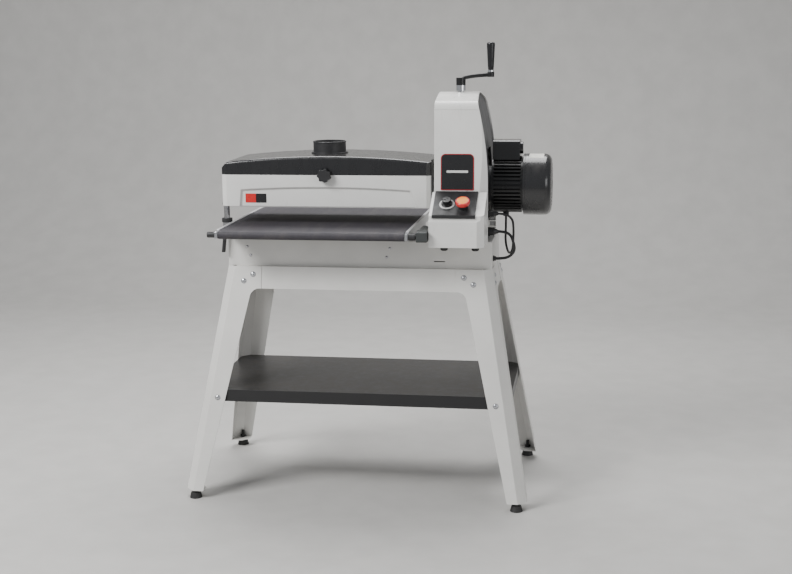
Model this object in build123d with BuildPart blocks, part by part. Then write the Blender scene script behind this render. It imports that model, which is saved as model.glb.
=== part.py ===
"""Open-ended conveyor drum sander on a sheet-steel stand, in millimetres.

The frame stands on the floor: +Z is up, +X runs along the drum towards the motor, and the work
goes in along +Y.  The origin is on the floor, under the middle of the whole machine's box.
"""
from math import atan2, cos, degrees, pi, radians, sin, tan
import os

from build123d import *

os.makedirs("parts", exist_ok=True)

# ---------------------------------------------------------------- clearances
running_fit = 0.05        # radial, a shaft that turns or slides in its bore
bolt_clearance = 0.3      # radial, a bolt in its hole
body_gap = 0.5            # between pieces that move past each other
sheet_gap = 0.3           # between a cover and the next one

# ---------------------------------------------------------------- conveyor
stand_top_z = 707.0
base_height = 83.0
base_top_z = stand_top_z + base_height
belt_left = -394.3        # from the stand's middle plane, as are all the X sizes below
belt_width = 559.0
belt_right = belt_left + belt_width
belt_top_z = base_top_z + 45.5
belt_sheet = 2.0
roller_radius = 10.5
roller_z = belt_top_z - belt_sheet - roller_radius
bed_half_length = 292.0
roller_y = bed_half_length - belt_sheet - roller_radius
rail_width = 8.7
rail_gap = 2.0            # between the belt's edge and a rail
rail_height = 2 * roller_radius + 6.5
bed_sheet = 4.0
journal_radius = 6.0
bearing_block_length = 27.0
bearing_block_height = 20.0
end_cap_radius = 9.0
end_cap_length = 24.0
coupling_radius = 9.5
coupling_length = 21.0
gearbox_x = (belt_right + 35.3, belt_right + 66.3)
gearbox_y = (2.0 - bed_half_length, 52.0 - bed_half_length)
gearbox_z = (belt_top_z - 27.0, belt_top_z + 4.5)
feed_motor_radius = 15.5
feed_motor_length = 96.0
feed_motor_z = belt_top_z - 11.5
feed_motor_x = gearbox_x[0] + 9.0

# ---------------------------------------------------------------- head
drum_radius = 63.5
wrap_sheet = 1.1
drum_wall = 6.0
drum_axis_z = belt_top_z + drum_radius + 51.0
drum_bottom_z = drum_axis_z - drum_radius - wrap_sheet
shaft_radius = 12.5
head_left = belt_left - 29.7
head_right = belt_right + 60.3
head_middle = (head_left + head_right) / 2
head_half_y = drum_radius + 66.5
head_bottom_z = drum_axis_z - 60.0
head_split_z = drum_axis_z + 37.0
head_wall = 12.0          # the cast front and rear covers
head_bevel_x = 15.0
head_bevel_y = 8.0
end_plate = 12.0
panel_depth = 6.0
panel_slope = 45.0
panel_low = (head_left + 55.0, head_right - 40.0)
panel_high = (head_left + 60.0, head_right - 62.0)
panel_shoulder_z = drum_axis_z - 8.0
panel_crown_z = drum_axis_z + 1.0
lid_wall = 3.0
lid_end_z = drum_axis_z + drum_radius + 13.5
lid_crown_z = lid_end_z + 17.0
lid_corner = 19.0
lid_edge_radius = 9.0
port_x = head_middle - 10.2
port_radius = 50.8
port_wall = 3.0
port_top_z = lid_crown_z + 36.7
port_flange_radius = port_radius + 6.2
port_flange = 3.5
hinge_y = head_half_y + 6.0
hinge_pin_radius = 2.5
hinge_knuckle_radius = 5.0
hinge_knuckle = 20.0
hinge_x = (head_middle - 230.5, head_middle + 229.5)
knob_radius = 21.0
knob_depth = 20.0
knob_shank_radius = 5.0
press_roller_radius = 16.0
press_roller_y = drum_radius + 24.5
press_roller_drop = 0.4   # how far a pressure roller stands below the drum
press_axis_z = drum_bottom_z - press_roller_drop + press_roller_radius
press_journal_radius = 6.0
carrier_width = 24.0
carrier_height = 36.0
guide_rib = 6.0
guide_rib_depth = 14.0

# ---------------------------------------------------------------- column
column_left = head_right + 13.0
column_right = column_left + 159.0
column_bend_z = drum_axis_z + 10.0     # where the right side starts to lean in
column_top_right = column_right - 40.0
column_crown_z = drum_axis_z + 288.0
column_foot_y = 165.0
column_shoulder_y = column_foot_y - 17.0
column_shoulder_z = column_crown_z - 33.0
column_shoulder_radius = 28.0
column_crown_radius = 300.0
column_waist_z = drum_axis_z - 2.0
cap_z = column_crown_z - 54.0
cover_wall = 3.0
cover_bevel_x = 24.0
cover_bevel_y = 14.0
panel_recess = 5.0
screw_x = column_left + 63.0
screw_radius = 10.0
rod_radius = 15.0
rod_y = 100.0
top_plate_z = cap_z - 12.0
top_plate = 11.0
nut_radius = 19.0
nut_height = 26.0
nut_z = drum_axis_z + 142.0
arm_half_y = 56.0
arm_z = (drum_axis_z - 44.0, drum_axis_z + 44.0)
flange_radius = 56.0
carriage_bore = 32.0
lift_up = 52.0
lift_down = 48.5
console_left = column_left - 4.0
console_right = column_right - 1.0
console_front_y = column_foot_y + 103.0
console_bottom_z = base_top_z + 1.0
console_brow_z = base_top_z + 77.0
console_slope_z = (base_top_z + 94.0, base_top_z + 153.5)
console_slope_y = column_foot_y + 97.0
console_bevel_x = 21.0
console_bevel_y = 12.0
panel_x = (console_left + 9.0, console_right - 26.0)
panel_plate = 3.0
speed_knob_x = console_left + 49.0
speed_knob_y = column_foot_y + 53.0
stop_x = console_left + 98.0
stop_y = column_foot_y + 67.0

# ---------------------------------------------------------------- crank
crank_reach = 91.0
crank_hub_radius = 14.5
crank_hub_z = (column_crown_z + 13.0, column_crown_z + 35.0)
crank_rise = 16.0
grip_base_radius = 8.3
grip_top_radius = 12.8
grip_z = (crank_hub_z[1] + 23.0, crank_hub_z[1] + 106.0)

# ---------------------------------------------------------------- motor, which sets the width
motor_left = column_right + 3.5
motor_body_length = 94.0
fan_cover_length = 85.0
motor_end = motor_left + motor_body_length + fan_cover_length
motor_body_radius = 76.0
motor_bore = motor_body_radius - 16.0
fan_cover_radius = motor_body_radius + 17.4
fan_cover_wall = 2.0
fan_cover_edge = 22.0
fin_radius = motor_body_radius + 10.0
fin_count = 44
fin_sheet = 5.5
capacitor_x = (motor_left + 1.5, motor_left + 83.5)
capacitor_top_z = drum_axis_z + fin_radius + 50.0
capacitor_half_y = 38.0
lead_boss_x = motor_left + 39.5
lead_boss_z = drum_axis_z - fin_radius - 12.0

# ---------------------------------------------------------------- base
base_half_x = column_right + 11.0
base_half_y = 135.0
base_wall = 2.0
base_edge_radius = 3.0

# ---------------------------------------------------------------- stand
sheet = 2.0               # leg and apron sheet
leg_bottom_z = 24.5
leg_top_x = base_half_x + 2.2          # half spread of the legs' outer faces at the stand's top
leg_top_y = base_half_y + 15.7
leg_foot_x = leg_top_x + 116.1         # half spread at their lower ends
leg_foot_y = leg_top_y + 143.4
corner_cut = 25.8         # the facet down each leg's corner
leg_front_width_low = 58.0
leg_front_width_high = 92.0
leg_side_width_low = 58.0
leg_side_width_high = 80.0
gusset_z = stand_top_z - 67.0          # lower edge of the legs' wide tops and of the aprons
gusset_radius = 30.0
gusset_front_reach = 29.597   # how far a leg's wide top runs on from its inner edge, along the front
gusset_side_reach = 26.778
apron_flange = 38.0
foot_pad_x = leg_foot_x - 30.4
foot_pad_y = leg_foot_y - 15.8
pad_trim = 20.0           # cut off the inner corner of a leg's foot plate
foot_radius_floor = 19.5
foot_radius_top = 15.0
foot_height = 17.0
foot_stud_radius = 5.0
foot_nut_across = 17.0
foot_nut_height = 8.0
shelf_top_z = 334.0
shelf_lip = 38.0
shelf_sheet = 1.5
bolt_radius = 4.0
bolt_head_radius = 8.5
bolt_head_height = 3.5
bolt_length = 12.0
gusset_bolts = ((leg_top_x - 84.2, stand_top_z - 24.0), (leg_top_x - 55.2, stand_top_z - 44.0))
side_bolts = ((leg_top_y - 58.7, stand_top_z - 24.0), (leg_top_y - 34.7, stand_top_z - 44.0))

# ---------------------------------------------------------------- table adjuster, left side
post_x = belt_left - 52.7
post_radius = 9.3
dial_radius = 17.0
dial_z = (belt_top_z - 12.5, belt_top_z + 0.5)
post_top_z = belt_top_z + 44.5
lever_y = -150.0
lever_z = belt_top_z - 35.5

# ---------------------------------------------------------------- leads
motor_lead_radius = 3.5
supply_lead_radius = 4.25
lead_y = -100.0
motor_gland_z = base_top_z + 81.0
supply_gland_z = base_top_z + 27.0
gland_end_x = column_right + 27.0
grommet_z = base_top_z - 57.0
grommet_y = -90.0
grommet_end_x = base_half_x + 9.0

# Sizes worked out from those above
stand_x = (leg_foot_x - motor_end) / 2
lean_y = (leg_foot_y - leg_top_y) / (stand_top_z - leg_bottom_z)
lean_x = (leg_foot_x - leg_top_x) / (stand_top_z - leg_bottom_z)
slope_angle = degrees(atan2(console_slope_z[1] - console_slope_z[0], console_slope_y - column_foot_y))


def save(piece, name):
    """Label a finished piece and write it as its own file."""
    piece.part.label = name
    export_step(piece.part, f"parts/{name}.step")


def at(x):
    """Turn an X size counted from the stand's middle plane into the frame's own X."""
    return stand_x + x


def outer_x(z):
    """Half spread of the legs' side faces at a height."""
    return leg_foot_x - lean_x * (z - leg_bottom_z)


def outer_y(z):
    """Half spread of the legs' front faces at a height."""
    return leg_foot_y - lean_y * (z - leg_bottom_z)


def plane_at(x, y, z, normal):
    """A plane with its origin at a point and its Z along a direction."""
    return Plane(origin=(x, y, z), z_dir=normal)


def rod(radius, x_from, x_to, y, z, mode=Mode.ADD):
    """A round bar along X, added to the part being built."""
    with BuildSketch(Plane.YZ.offset(x_from)) as end:
        with Locations((y, z)):
            Circle(radius)
    extrude(end.sketch, amount=x_to - x_from, mode=mode)


def block(x_span, y_span, z_span, mode=Mode.ADD):
    """A square block between two corners, added to the part being built."""
    with Locations(((x_span[0] + x_span[1]) / 2, (y_span[0] + y_span[1]) / 2, (z_span[0] + z_span[1]) / 2)):
        Box(x_span[1] - x_span[0], y_span[1] - y_span[0], z_span[1] - z_span[0], mode=mode)


def upright(radius, x, y, z_from, z_to, mode=Mode.ADD):
    """A round bar along Z, added to the part being built."""
    with BuildSketch(Plane.XY.offset(z_from)) as end:
        with Locations((x, y)):
            Circle(radius)
    extrude(end.sketch, amount=z_to - z_from, mode=mode)


# ================================================================ stand
def stand_ring(inset, z_low, z_high):
    """The leaning, corner-cut tower whose skin the legs and aprons are cut from."""
    with BuildPart() as tower:
        for z in (z_low, z_high):
            with BuildSketch(Plane.XY.offset(z)) as ring:
                with Locations((stand_x, 0)):
                    Rectangle(2 * (outer_x(z) - inset), 2 * (outer_y(z) - inset))
                chamfer(ring.vertices(), corner_cut - inset * (2 - 2 ** 0.5))
        loft(ruled=True)
    return tower.part


# Each stand bolt is a place on a face and that face's outward direction.
front_normal = Vector(0, -1, lean_y).normalized()
side_normal = Vector(1, 0, lean_x).normalized()
shelf_bolt = (outer_x(shelf_top_z - 25.0) - 48.9, shelf_top_z - 25.0)
bolt_planes = []
for x_side in (-1, 1):
    for y_side in (-1, 1):
        for bolt_x, bolt_z in gusset_bolts + (shelf_bolt,):
            normal = (0, -front_normal.Y * y_side, front_normal.Z)
            bolt_planes.append(plane_at(at(x_side * bolt_x), y_side * outer_y(bolt_z), bolt_z, normal))
        for bolt_y, bolt_z in side_bolts:
            normal = (x_side * side_normal.X, 0, side_normal.Z)
            bolt_planes.append(plane_at(at(x_side * outer_x(bolt_z)), y_side * bolt_y, bolt_z, normal))


def drill_stand_bolts():
    """Cut every stand bolt's hole through the part being built."""
    for plane in bolt_planes:
        with BuildSketch(plane) as hole:
            Circle(bolt_radius + bolt_clearance)
        extrude(hole.sketch, amount=-bolt_length - 30, mode=Mode.SUBTRACT)


leg_skin_outer = stand_ring(0, leg_bottom_z, stand_top_z)
leg_skin_inner = stand_ring(sheet, leg_bottom_z, stand_top_z)
apron_skin_inner = stand_ring(2 * sheet, gusset_z, stand_top_z)


def leg_outline(foot, low_width, top, high_width, gusset_reach, plane, side, middle):
    """A leg's outline in front or side view, as a sketch on that view's plane."""
    inner_low = foot - low_width
    inner_high = top + (foot - top) * (stand_top_z - gusset_z) / (stand_top_z - leg_bottom_z) - high_width
    gusset_end = inner_high - gusset_reach
    points = [
        (inner_low, leg_bottom_z),
        (inner_high, gusset_z),
        (gusset_end, gusset_z),
        (gusset_end, stand_top_z),
        (foot + 20, stand_top_z),
        (foot + 20, leg_bottom_z),
    ]
    points = [(middle + side * u, z) for u, z in points]
    with BuildSketch(plane) as outline:
        with BuildLine():
            FilletPolyline(*points, radius=[0, gusset_radius, 0, 0, 0, 0], close=True)
        make_face()
    return outline


for y_name, y_side in (("front", -1), ("rear", 1)):
    for x_name, x_side in (("left", -1), ("right", 1)):
        front_view = leg_outline(leg_foot_x, leg_front_width_low, leg_top_x, leg_front_width_high,
                                 gusset_front_reach, Plane.XZ, x_side, stand_x)
        side_view = leg_outline(leg_foot_y, leg_side_width_low, leg_top_y, leg_side_width_high,
                                gusset_side_reach, Plane.YZ, y_side, 0)
        with BuildPart() as leg:
            add(leg_skin_outer)
            add(leg_skin_inner, mode=Mode.SUBTRACT)
            extrude(front_view.sketch, amount=leg_foot_y + 10, both=True, mode=Mode.INTERSECT)
            extrude(side_view.sketch, amount=leg_foot_x + 60, both=True, mode=Mode.INTERSECT)
            drill_stand_bolts()
            with BuildSketch(Plane.XY.offset(leg_bottom_z)):
                with BuildLine():
                    reach_x = outer_x(leg_bottom_z) - sheet
                    reach_y = outer_y(leg_bottom_z) - sheet
                    near_x = leg_foot_x - leg_front_width_low
                    near_y = leg_foot_y - leg_side_width_low
                    cut = corner_cut - sheet
                    pad = [(near_x, near_y + pad_trim), (near_x + pad_trim, near_y), (reach_x, near_y),
                           (reach_x, reach_y - cut),
                           (reach_x - cut, reach_y), (near_x, reach_y)]
                    Polyline(*[(at(x_side * x), y_side * y) for x, y in pad], close=True)
                make_face()
                with Locations((at(x_side * foot_pad_x), y_side * foot_pad_y)):
                    Circle(foot_stud_radius + bolt_clearance, mode=Mode.SUBTRACT)
            extrude(amount=sheet)
        save(leg, f"leg_{y_name}_{x_name}")

with BuildPart() as long_aprons:
    add(leg_skin_inner)
    add(apron_skin_inner, mode=Mode.SUBTRACT)
    apron_half_x = leg_top_x - corner_cut - 4
    block((at(-apron_half_x), at(apron_half_x)), (-leg_foot_y, leg_foot_y), (gusset_z, stand_top_z),
          Mode.INTERSECT)
    block((at(-leg_foot_x), at(leg_foot_x)), (-leg_top_y + corner_cut, leg_top_y - corner_cut),
          (gusset_z - 5, stand_top_z + 5), Mode.SUBTRACT)
    for y_side in (-1, 1):
        edge = outer_y(stand_top_z) - sheet - 0.5
        low, high = sorted((y_side * edge, y_side * (edge - apron_flange)))
        block((at(-apron_half_x), at(apron_half_x)), (low, high), (stand_top_z - sheet, stand_top_z))
    drill_stand_bolts()
save(long_aprons, "long_aprons")

with BuildPart() as short_aprons:
    add(leg_skin_inner)
    add(apron_skin_inner, mode=Mode.SUBTRACT)
    apron_half_y = leg_top_y - apron_flange - corner_cut + 20
    block((at(-leg_foot_x), at(leg_foot_x)), (-apron_half_y, apron_half_y), (gusset_z, stand_top_z),
          Mode.INTERSECT)
    block((at(-leg_top_x + corner_cut), at(leg_top_x - corner_cut)), (-leg_foot_y, leg_foot_y),
          (gusset_z - 5, stand_top_z + 5), Mode.SUBTRACT)
    for x_side in (-1, 1):
        edge = outer_x(stand_top_z) - sheet - 0.5
        inner_edge = leg_top_x - corner_cut - 2
        low, high = sorted((at(x_side * edge), at(x_side * inner_edge)))
        block((low, high), (-apron_half_y, apron_half_y), (stand_top_z - sheet, stand_top_z))
    drill_stand_bolts()
save(short_aprons, "short_aprons")

with BuildPart() as lower_shelf:
    shelf_low_z = shelf_top_z - shelf_lip
    half_x = outer_x(shelf_top_z) - sheet - body_gap
    half_y = outer_y(shelf_top_z) - sheet - body_gap
    with BuildSketch(Plane.XY.offset(shelf_low_z)) as tray:
        with Locations((stand_x, 0)):
            Rectangle(2 * half_x, 2 * half_y)
        chamfer(tray.vertices(), corner_cut)
    extrude(amount=shelf_lip)
    with BuildSketch(Plane.XY.offset(shelf_low_z)) as hollow:
        with Locations((stand_x, 0)):
            Rectangle(2 * (half_x - shelf_sheet), 2 * (half_y - shelf_sheet))
        chamfer(hollow.vertices(), corner_cut - shelf_sheet * (2 - 2 ** 0.5))
    extrude(amount=shelf_lip - shelf_sheet, mode=Mode.SUBTRACT)
    drill_stand_bolts()
save(lower_shelf, "lower_shelf")

with BuildPart() as stand_bolts:
    for plane in bolt_planes:
        with BuildSketch(plane):
            Circle(bolt_radius)
        extrude(amount=-bolt_length)
        with BuildSketch(plane):
            Circle(bolt_head_radius)
        extrude(amount=bolt_head_height, taper=35)
save(stand_bolts, "stand_bolts")

with BuildPart() as levelling_feet:
    for x_side in (-1, 1):
        for y_side in (-1, 1):
            foot_x = at(x_side * foot_pad_x)
            foot_y = y_side * foot_pad_y
            with BuildSketch(Plane.XY):
                with Locations((foot_x, foot_y)):
                    Circle(foot_radius_floor)
            with BuildSketch(Plane.XY.offset(foot_height)):
                with Locations((foot_x, foot_y)):
                    Circle(foot_radius_top)
            loft()
            upright(foot_stud_radius, foot_x, foot_y, foot_height, leg_bottom_z + 26)
            with BuildSketch(Plane.XY.offset(leg_bottom_z + sheet)):
                with Locations((foot_x, foot_y)):
                    RegularPolygon(foot_nut_across / 2, 6, major_radius=False)
            extrude(amount=foot_nut_height)
            with BuildSketch(Plane.XY.offset(foot_height)):
                with Locations((foot_x, foot_y)):
                    RegularPolygon(foot_nut_across / 2, 6, major_radius=False)
            extrude(amount=leg_bottom_z - foot_height)
save(levelling_feet, "levelling_feet")

# ================================================================ base
base_x = (at(-base_half_x), at(base_half_x))
high_screw_z = base_top_z - 24.0
low_screw_z = base_top_z - 51.0
base_screw_places = ((-347.0, high_screw_z), (-337.0, low_screw_z), (98.0, high_screw_z), (88.0, low_screw_z))
with BuildPart() as base_box:
    block(base_x, (-base_half_y, base_half_y), (stand_top_z, base_top_z))
    fillet(base_box.edges().filter_by(Axis.Z) + base_box.faces().sort_by(Axis.Z)[-1].edges(),
           base_edge_radius)
    block((base_x[0] + base_wall, base_x[1] - base_wall), (base_wall - base_half_y, base_half_y - base_wall),
          (stand_top_z + base_wall, base_top_z - base_wall), Mode.SUBTRACT)
    for y_side in (-1, 1):
        for screw_place_x, screw_place_z in base_screw_places:
            with BuildSketch(plane_at(at(screw_place_x), y_side * base_half_y, screw_place_z,
                                      (0, y_side, 0))):
                Circle(2.5 + bolt_clearance)
            extrude(amount=-base_wall - 1, mode=Mode.SUBTRACT)
    with BuildSketch(Plane.XZ.offset(base_half_y)):
        with Locations((at(column_left + 12.0), base_top_z - 62.0)):
            SlotOverall(34, 3)
    extrude(amount=-base_wall - 1, mode=Mode.SUBTRACT)
save(base_box, "base_box")

with BuildPart() as base_screws:
    for y_side in (-1, 1):
        for screw_place_x, screw_place_z in base_screw_places:
            screw_plane = plane_at(at(screw_place_x), y_side * base_half_y, screw_place_z, (0, y_side, 0))
            with BuildSketch(screw_plane):
                Circle(2.5)
            extrude(amount=-10)
            with BuildSketch(screw_plane):
                Circle(4.8)
            extrude(amount=2.6, taper=20)
save(base_screws, "base_screws")

# ================================================================ conveyor
rail_z = (belt_top_z + 1.5 - rail_height, belt_top_z + 1.5)
left_rail = (at(belt_left - rail_gap - rail_width), at(belt_left - rail_gap))
right_rail = (at(belt_right + rail_gap), at(belt_right + rail_gap + rail_width))
block_end_y = roller_y + 11
block_start_y = block_end_y - bearing_block_length
with BuildPart() as conveyor_bed:
    for rail in (left_rail, right_rail):
        block(rail, (sheet_gap - block_start_y, block_start_y - sheet_gap), rail_z)
    bed_half = roller_y - roller_radius - 3
    block((left_rail[1], right_rail[0]), (-bed_half, bed_half),
          (roller_z - roller_radius + 0.3, roller_z + roller_radius - 0.3))
    block((left_rail[1] + bed_sheet, right_rail[0] - bed_sheet), (bed_sheet - bed_half, bed_half - bed_sheet),
          (rail_z[0], roller_z + roller_radius - bed_sheet), Mode.SUBTRACT)
    for y_side in (-1, 1):
        low, high = sorted((y_side * 70.0, y_side * 120.0))
        block((left_rail[0], right_rail[1]), (low, high), (base_top_z, rail_z[0]))
    rod(4.0, left_rail[0] - 13, left_rail[0], lever_y, lever_z + 16)
save(conveyor_bed, "conveyor_bed")


def belt_loop(grow, mode):
    """The long round-ended outline round both rollers, as a slab as wide as the belt."""
    with BuildSketch(Plane.YZ.offset(at(belt_left))) as end:
        with Locations((0, roller_z)):
            SlotCenterToCenter(2 * roller_y, 2 * (roller_radius + grow))
    extrude(end.sketch, amount=belt_width, mode=mode)


with BuildPart() as conveyor_belt:
    belt_loop(belt_sheet, Mode.ADD)
    belt_loop(0.0, Mode.SUBTRACT)
save(conveyor_belt, "conveyor_belt")

roller_inside_gap = 0.3
with BuildPart() as drive_roller:
    rod(roller_radius - roller_inside_gap, at(belt_left), at(belt_right), -roller_y, roller_z)
    rod(journal_radius, left_rail[0] - 8, gearbox_x[0] + stand_x - body_gap, -roller_y, roller_z)
    rod(end_cap_radius, left_rail[0] - body_gap - end_cap_length, left_rail[0] - body_gap, -roller_y,
        roller_z)
    rod(coupling_radius, right_rail[1] + body_gap, right_rail[1] + body_gap + coupling_length, -roller_y,
        roller_z)
    fillet(drive_roller.faces().sort_by(Axis.X)[0].edges(), 2.5)
save(drive_roller, "drive_roller")

with BuildPart() as driven_roller:
    rod(roller_radius - roller_inside_gap, at(belt_left), at(belt_right), roller_y, roller_z)
    rod(journal_radius, left_rail[0] - 8, right_rail[1] + 8, roller_y, roller_z)
    for x_from in (left_rail[0] - 10.5, right_rail[1] + 0.5):
        rod(end_cap_radius, x_from, x_from + 10, roller_y, roller_z)
save(driven_roller, "driven_roller")

with BuildPart() as roller_bearing_blocks:
    for rail in (left_rail, right_rail):
        for y_side in (-1, 1):
            low, high = sorted((y_side * block_start_y, y_side * block_end_y))
            block(rail, (low, high), (roller_z - bearing_block_height / 2,
                                      roller_z + bearing_block_height / 2))
            rod(journal_radius + running_fit, rail[0] - 1, rail[1] + 1, y_side * roller_y, roller_z,
                Mode.SUBTRACT)
save(roller_bearing_blocks, "roller_bearing_blocks")

with BuildPart() as gearmotor:
    block((at(gearbox_x[0]), at(gearbox_x[1])), gearbox_y, gearbox_z)
    fillet(gearmotor.edges().filter_by(Axis.X), 6)
    feed_motor_start = -gearbox_y[1] + 4
    with BuildSketch(Plane.XZ.offset(feed_motor_start)):
        with Locations((at(feed_motor_x), feed_motor_z)):
            Circle(feed_motor_radius)
    extrude(amount=-feed_motor_length)
    block((right_rail[1], at(gearbox_x[0]) + 4), (gearbox_y[1] - 8, gearbox_y[1]),
          (gearbox_z[0] + 4, gearbox_z[1] - 12))
save(gearmotor, "gearmotor")

with BuildPart() as adjuster_post:
    block((at(post_x - 13), left_rail[0]), (-14, 14), (dial_z[0] - 12, dial_z[0] - body_gap))
    fillet(adjuster_post.edges().filter_by(Axis.Z).sort_by(Axis.X)[0:2], 11)
    upright(post_radius, at(post_x), 0, dial_z[0] - 12, post_top_z)
    upright(dial_radius - 3, at(post_x), 0, post_top_z, post_top_z + 4)
save(adjuster_post, "adjuster_post")

with BuildPart() as adjuster_dial:
    upright(dial_radius, at(post_x), 0, dial_z[0], dial_z[1])
    chamfer(adjuster_dial.faces().sort_by(Axis.Z)[-1].edges(), 1.5)
    upright(post_radius + running_fit, at(post_x), 0, dial_z[0] - 1, dial_z[1] + 1, Mode.SUBTRACT)
save(adjuster_dial, "adjuster_dial")

lever_pivot_z = lever_z + 16
lever_x = left_rail[0] - body_gap
with BuildPart() as lock_lever:
    rod(9.5, lever_x - 11, lever_x, lever_y, lever_pivot_z)
    with BuildSketch(Plane.XY.offset(lever_pivot_z - 4)):
        with Locations((lever_x - 6, lever_y)):
            RectangleRounded(10, 14, 4)
    with BuildSketch(Plane.XY.offset(lever_pivot_z - 66)):
        with Locations((lever_x - 13, lever_y)):
            RectangleRounded(11, 12, 4)
    loft()
    rod(4.0 + running_fit, lever_x - 14, lever_x + 1, lever_y, lever_pivot_z, Mode.SUBTRACT)
save(lock_lever, "lock_lever")


# ================================================================ column
def column_solid(inset, side_inset, open_left):
    """The column's tombstone shape, drawn inwards by a wall: arched at the top, leaning in on the right."""
    half_foot = column_foot_y - inset
    shoulder_z = column_shoulder_z - inset
    points = [
        (-half_foot, base_top_z),
        (-half_foot, column_waist_z),
        (inset - column_shoulder_y, shoulder_z),
        (0, column_crown_z - inset),
        (column_shoulder_y - inset, shoulder_z),
        (half_foot, column_waist_z),
        (half_foot, base_top_z),
    ]
    radii = [0, 0, column_shoulder_radius - inset, column_crown_radius, column_shoulder_radius - inset, 0, 0]
    left = at(column_left) + side_inset - open_left
    right = at(column_right) + open_left / 4
    top_right = at(column_top_right) + open_left / 4
    with BuildPart() as shape:
        with BuildSketch(Plane.YZ.offset(left)):
            with BuildLine():
                FilletPolyline(*points, radius=radii, close=True)
            make_face()
        extrude(amount=right - left)
        rise = column_crown_z - column_bend_z
        lean = right - top_right
        bend_radius = (rise ** 2 + lean ** 2) / (2 * lean)
        middle_angle = atan2(rise, bend_radius - lean) / 2
        middle = (right - bend_radius + bend_radius * cos(middle_angle),
                  column_bend_z + bend_radius * sin(middle_angle))
        with BuildSketch(Plane.XZ):
            with BuildLine():
                Polyline((top_right, column_crown_z), (left, column_crown_z), (left, base_top_z),
                         (right, base_top_z), (right, column_bend_z))
                ThreePointArc((right, column_bend_z), middle, (top_right, column_crown_z))
            make_face()
        extrude(amount=column_foot_y + 20, both=True, mode=Mode.INTERSECT)
    return shape.part


def bevel_prism(y_side, inset):
    """The wedge that is cut from the column's right corner, following its curved side."""
    rise = column_crown_z - column_bend_z
    lean = column_right - column_top_right
    bend_radius = (rise ** 2 + lean ** 2) / (2 * lean)
    middle_angle = atan2(rise, bend_radius - lean) / 2
    with BuildPart() as wedge:
        for depth in (0.0, 60.0):
            shift = at(0) + inset * 0.4 - depth * cover_bevel_x / cover_bevel_y
            y = y_side * (column_foot_y - inset - cover_bevel_y + depth)
            right = column_right + shift
            top_right = column_top_right + shift
            middle = (right - bend_radius + bend_radius * cos(middle_angle),
                      column_bend_z + bend_radius * sin(middle_angle))
            with BuildSketch(Plane.XZ.offset(-y)):
                with BuildLine():
                    Polyline((top_right, column_crown_z + 5), (top_right + 200, column_crown_z + 5),
                             (top_right + 200, base_top_z - 5), (right, base_top_z - 5), (right,
                                     column_bend_z))
                    ThreePointArc((right, column_bend_z), middle, (top_right, column_crown_z))
                    Line((top_right, column_crown_z), (top_right, column_crown_z + 5))
                make_face()
        loft(ruled=True)
    return wedge.part


with BuildPart() as column_outside:
    add(column_solid(0, 0, 0))
    for y_side in (-1, 1):
        add(bevel_prism(y_side, 0), mode=Mode.SUBTRACT)
with BuildPart() as column_inside:
    add(column_solid(cover_wall, 0, 20))
    for y_side in (-1, 1):
        add(bevel_prism(y_side, cover_wall), mode=Mode.SUBTRACT)

cover_x = (at(column_left) - 5, at(column_right) + 5)
cover_split = 20.0
for name, y_span, z_span in (
    ("column_front_cover", (-column_foot_y - 1, -cover_split), (base_top_z - 1, cap_z)),
    ("column_rear_cover", (cover_split, column_foot_y + 1), (base_top_z - 1, cap_z)),
    ("column_top_cap", (-column_foot_y - 1, column_foot_y + 1), (cap_z + sheet_gap, column_crown_z + 1)),
):
    with BuildPart() as cover:
        add(column_outside.part)
        add(column_inside.part, mode=Mode.SUBTRACT)
        block(cover_x, y_span, z_span, Mode.INTERSECT)
        if name == "column_top_cap":
            upright(crank_hub_radius + 2, at(screw_x), 0, cap_z, column_crown_z + 5, Mode.SUBTRACT)
    save(cover, name)

slot_half_y = flange_radius + 3
slot_corner = 8.0
right_slot_z = (drum_axis_z - lift_down - flange_radius - 3, drum_axis_z + lift_up + flange_radius + 3)
left_slot_z = (arm_z[0] - lift_down - 3, arm_z[1] + lift_up + 3)
panel_wall = 2.0


def slot_cut(plane, z_span, half_width, depth):
    """Cut a round-cornered slot through the plate being built."""
    with BuildSketch(plane) as slot:
        with Locations((0, (z_span[0] + z_span[1]) / 2)):
            RectangleRounded(2 * half_width, z_span[1] - z_span[0], slot_corner)
    extrude(slot.sketch, amount=depth, mode=Mode.SUBTRACT)


panel_inset = cover_wall + sheet_gap
with BuildPart() as column_left_panel:
    add(column_solid(panel_inset, 0, 0))
    block((at(column_left) - 1, at(column_left) + panel_wall), (-column_foot_y, column_foot_y),
          (base_top_z - 1, column_crown_z), Mode.INTERSECT)
    slot_cut(Plane.YZ.offset(at(column_left) - 5), left_slot_z, slot_half_y, 12)
save(column_left_panel, "column_left_panel")

panel_skin = column_solid(-6, 0, 0)
with BuildPart() as column_right_panel:
    add(column_solid(panel_inset, 0, 20))
    for y_side in (-1, 1):
        add(bevel_prism(y_side, panel_inset), mode=Mode.SUBTRACT)
    add(panel_skin.moved(Location((-panel_recess, 0, 0))), mode=Mode.INTERSECT)
    add(panel_skin.moved(Location((-panel_recess - panel_wall, 0, 0))), mode=Mode.SUBTRACT)
    block((at(column_left) + 60, at(column_right)), (-column_foot_y, column_foot_y),
          (base_top_z, column_crown_z), Mode.INTERSECT)
    slot_cut(Plane.YZ.offset(at(column_left) + 60), right_slot_z, slot_half_y, 120)
save(column_right_panel, "column_right_panel")

with BuildPart() as guide_rods:
    for y_side in (-1, 1):
        upright(rod_radius, at(screw_x), y_side * rod_y, base_top_z, top_plate_z)
        upright(rod_radius + 10, at(screw_x), y_side * rod_y, base_top_z, base_top_z + 12)
save(guide_rods, "guide_rods")

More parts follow.
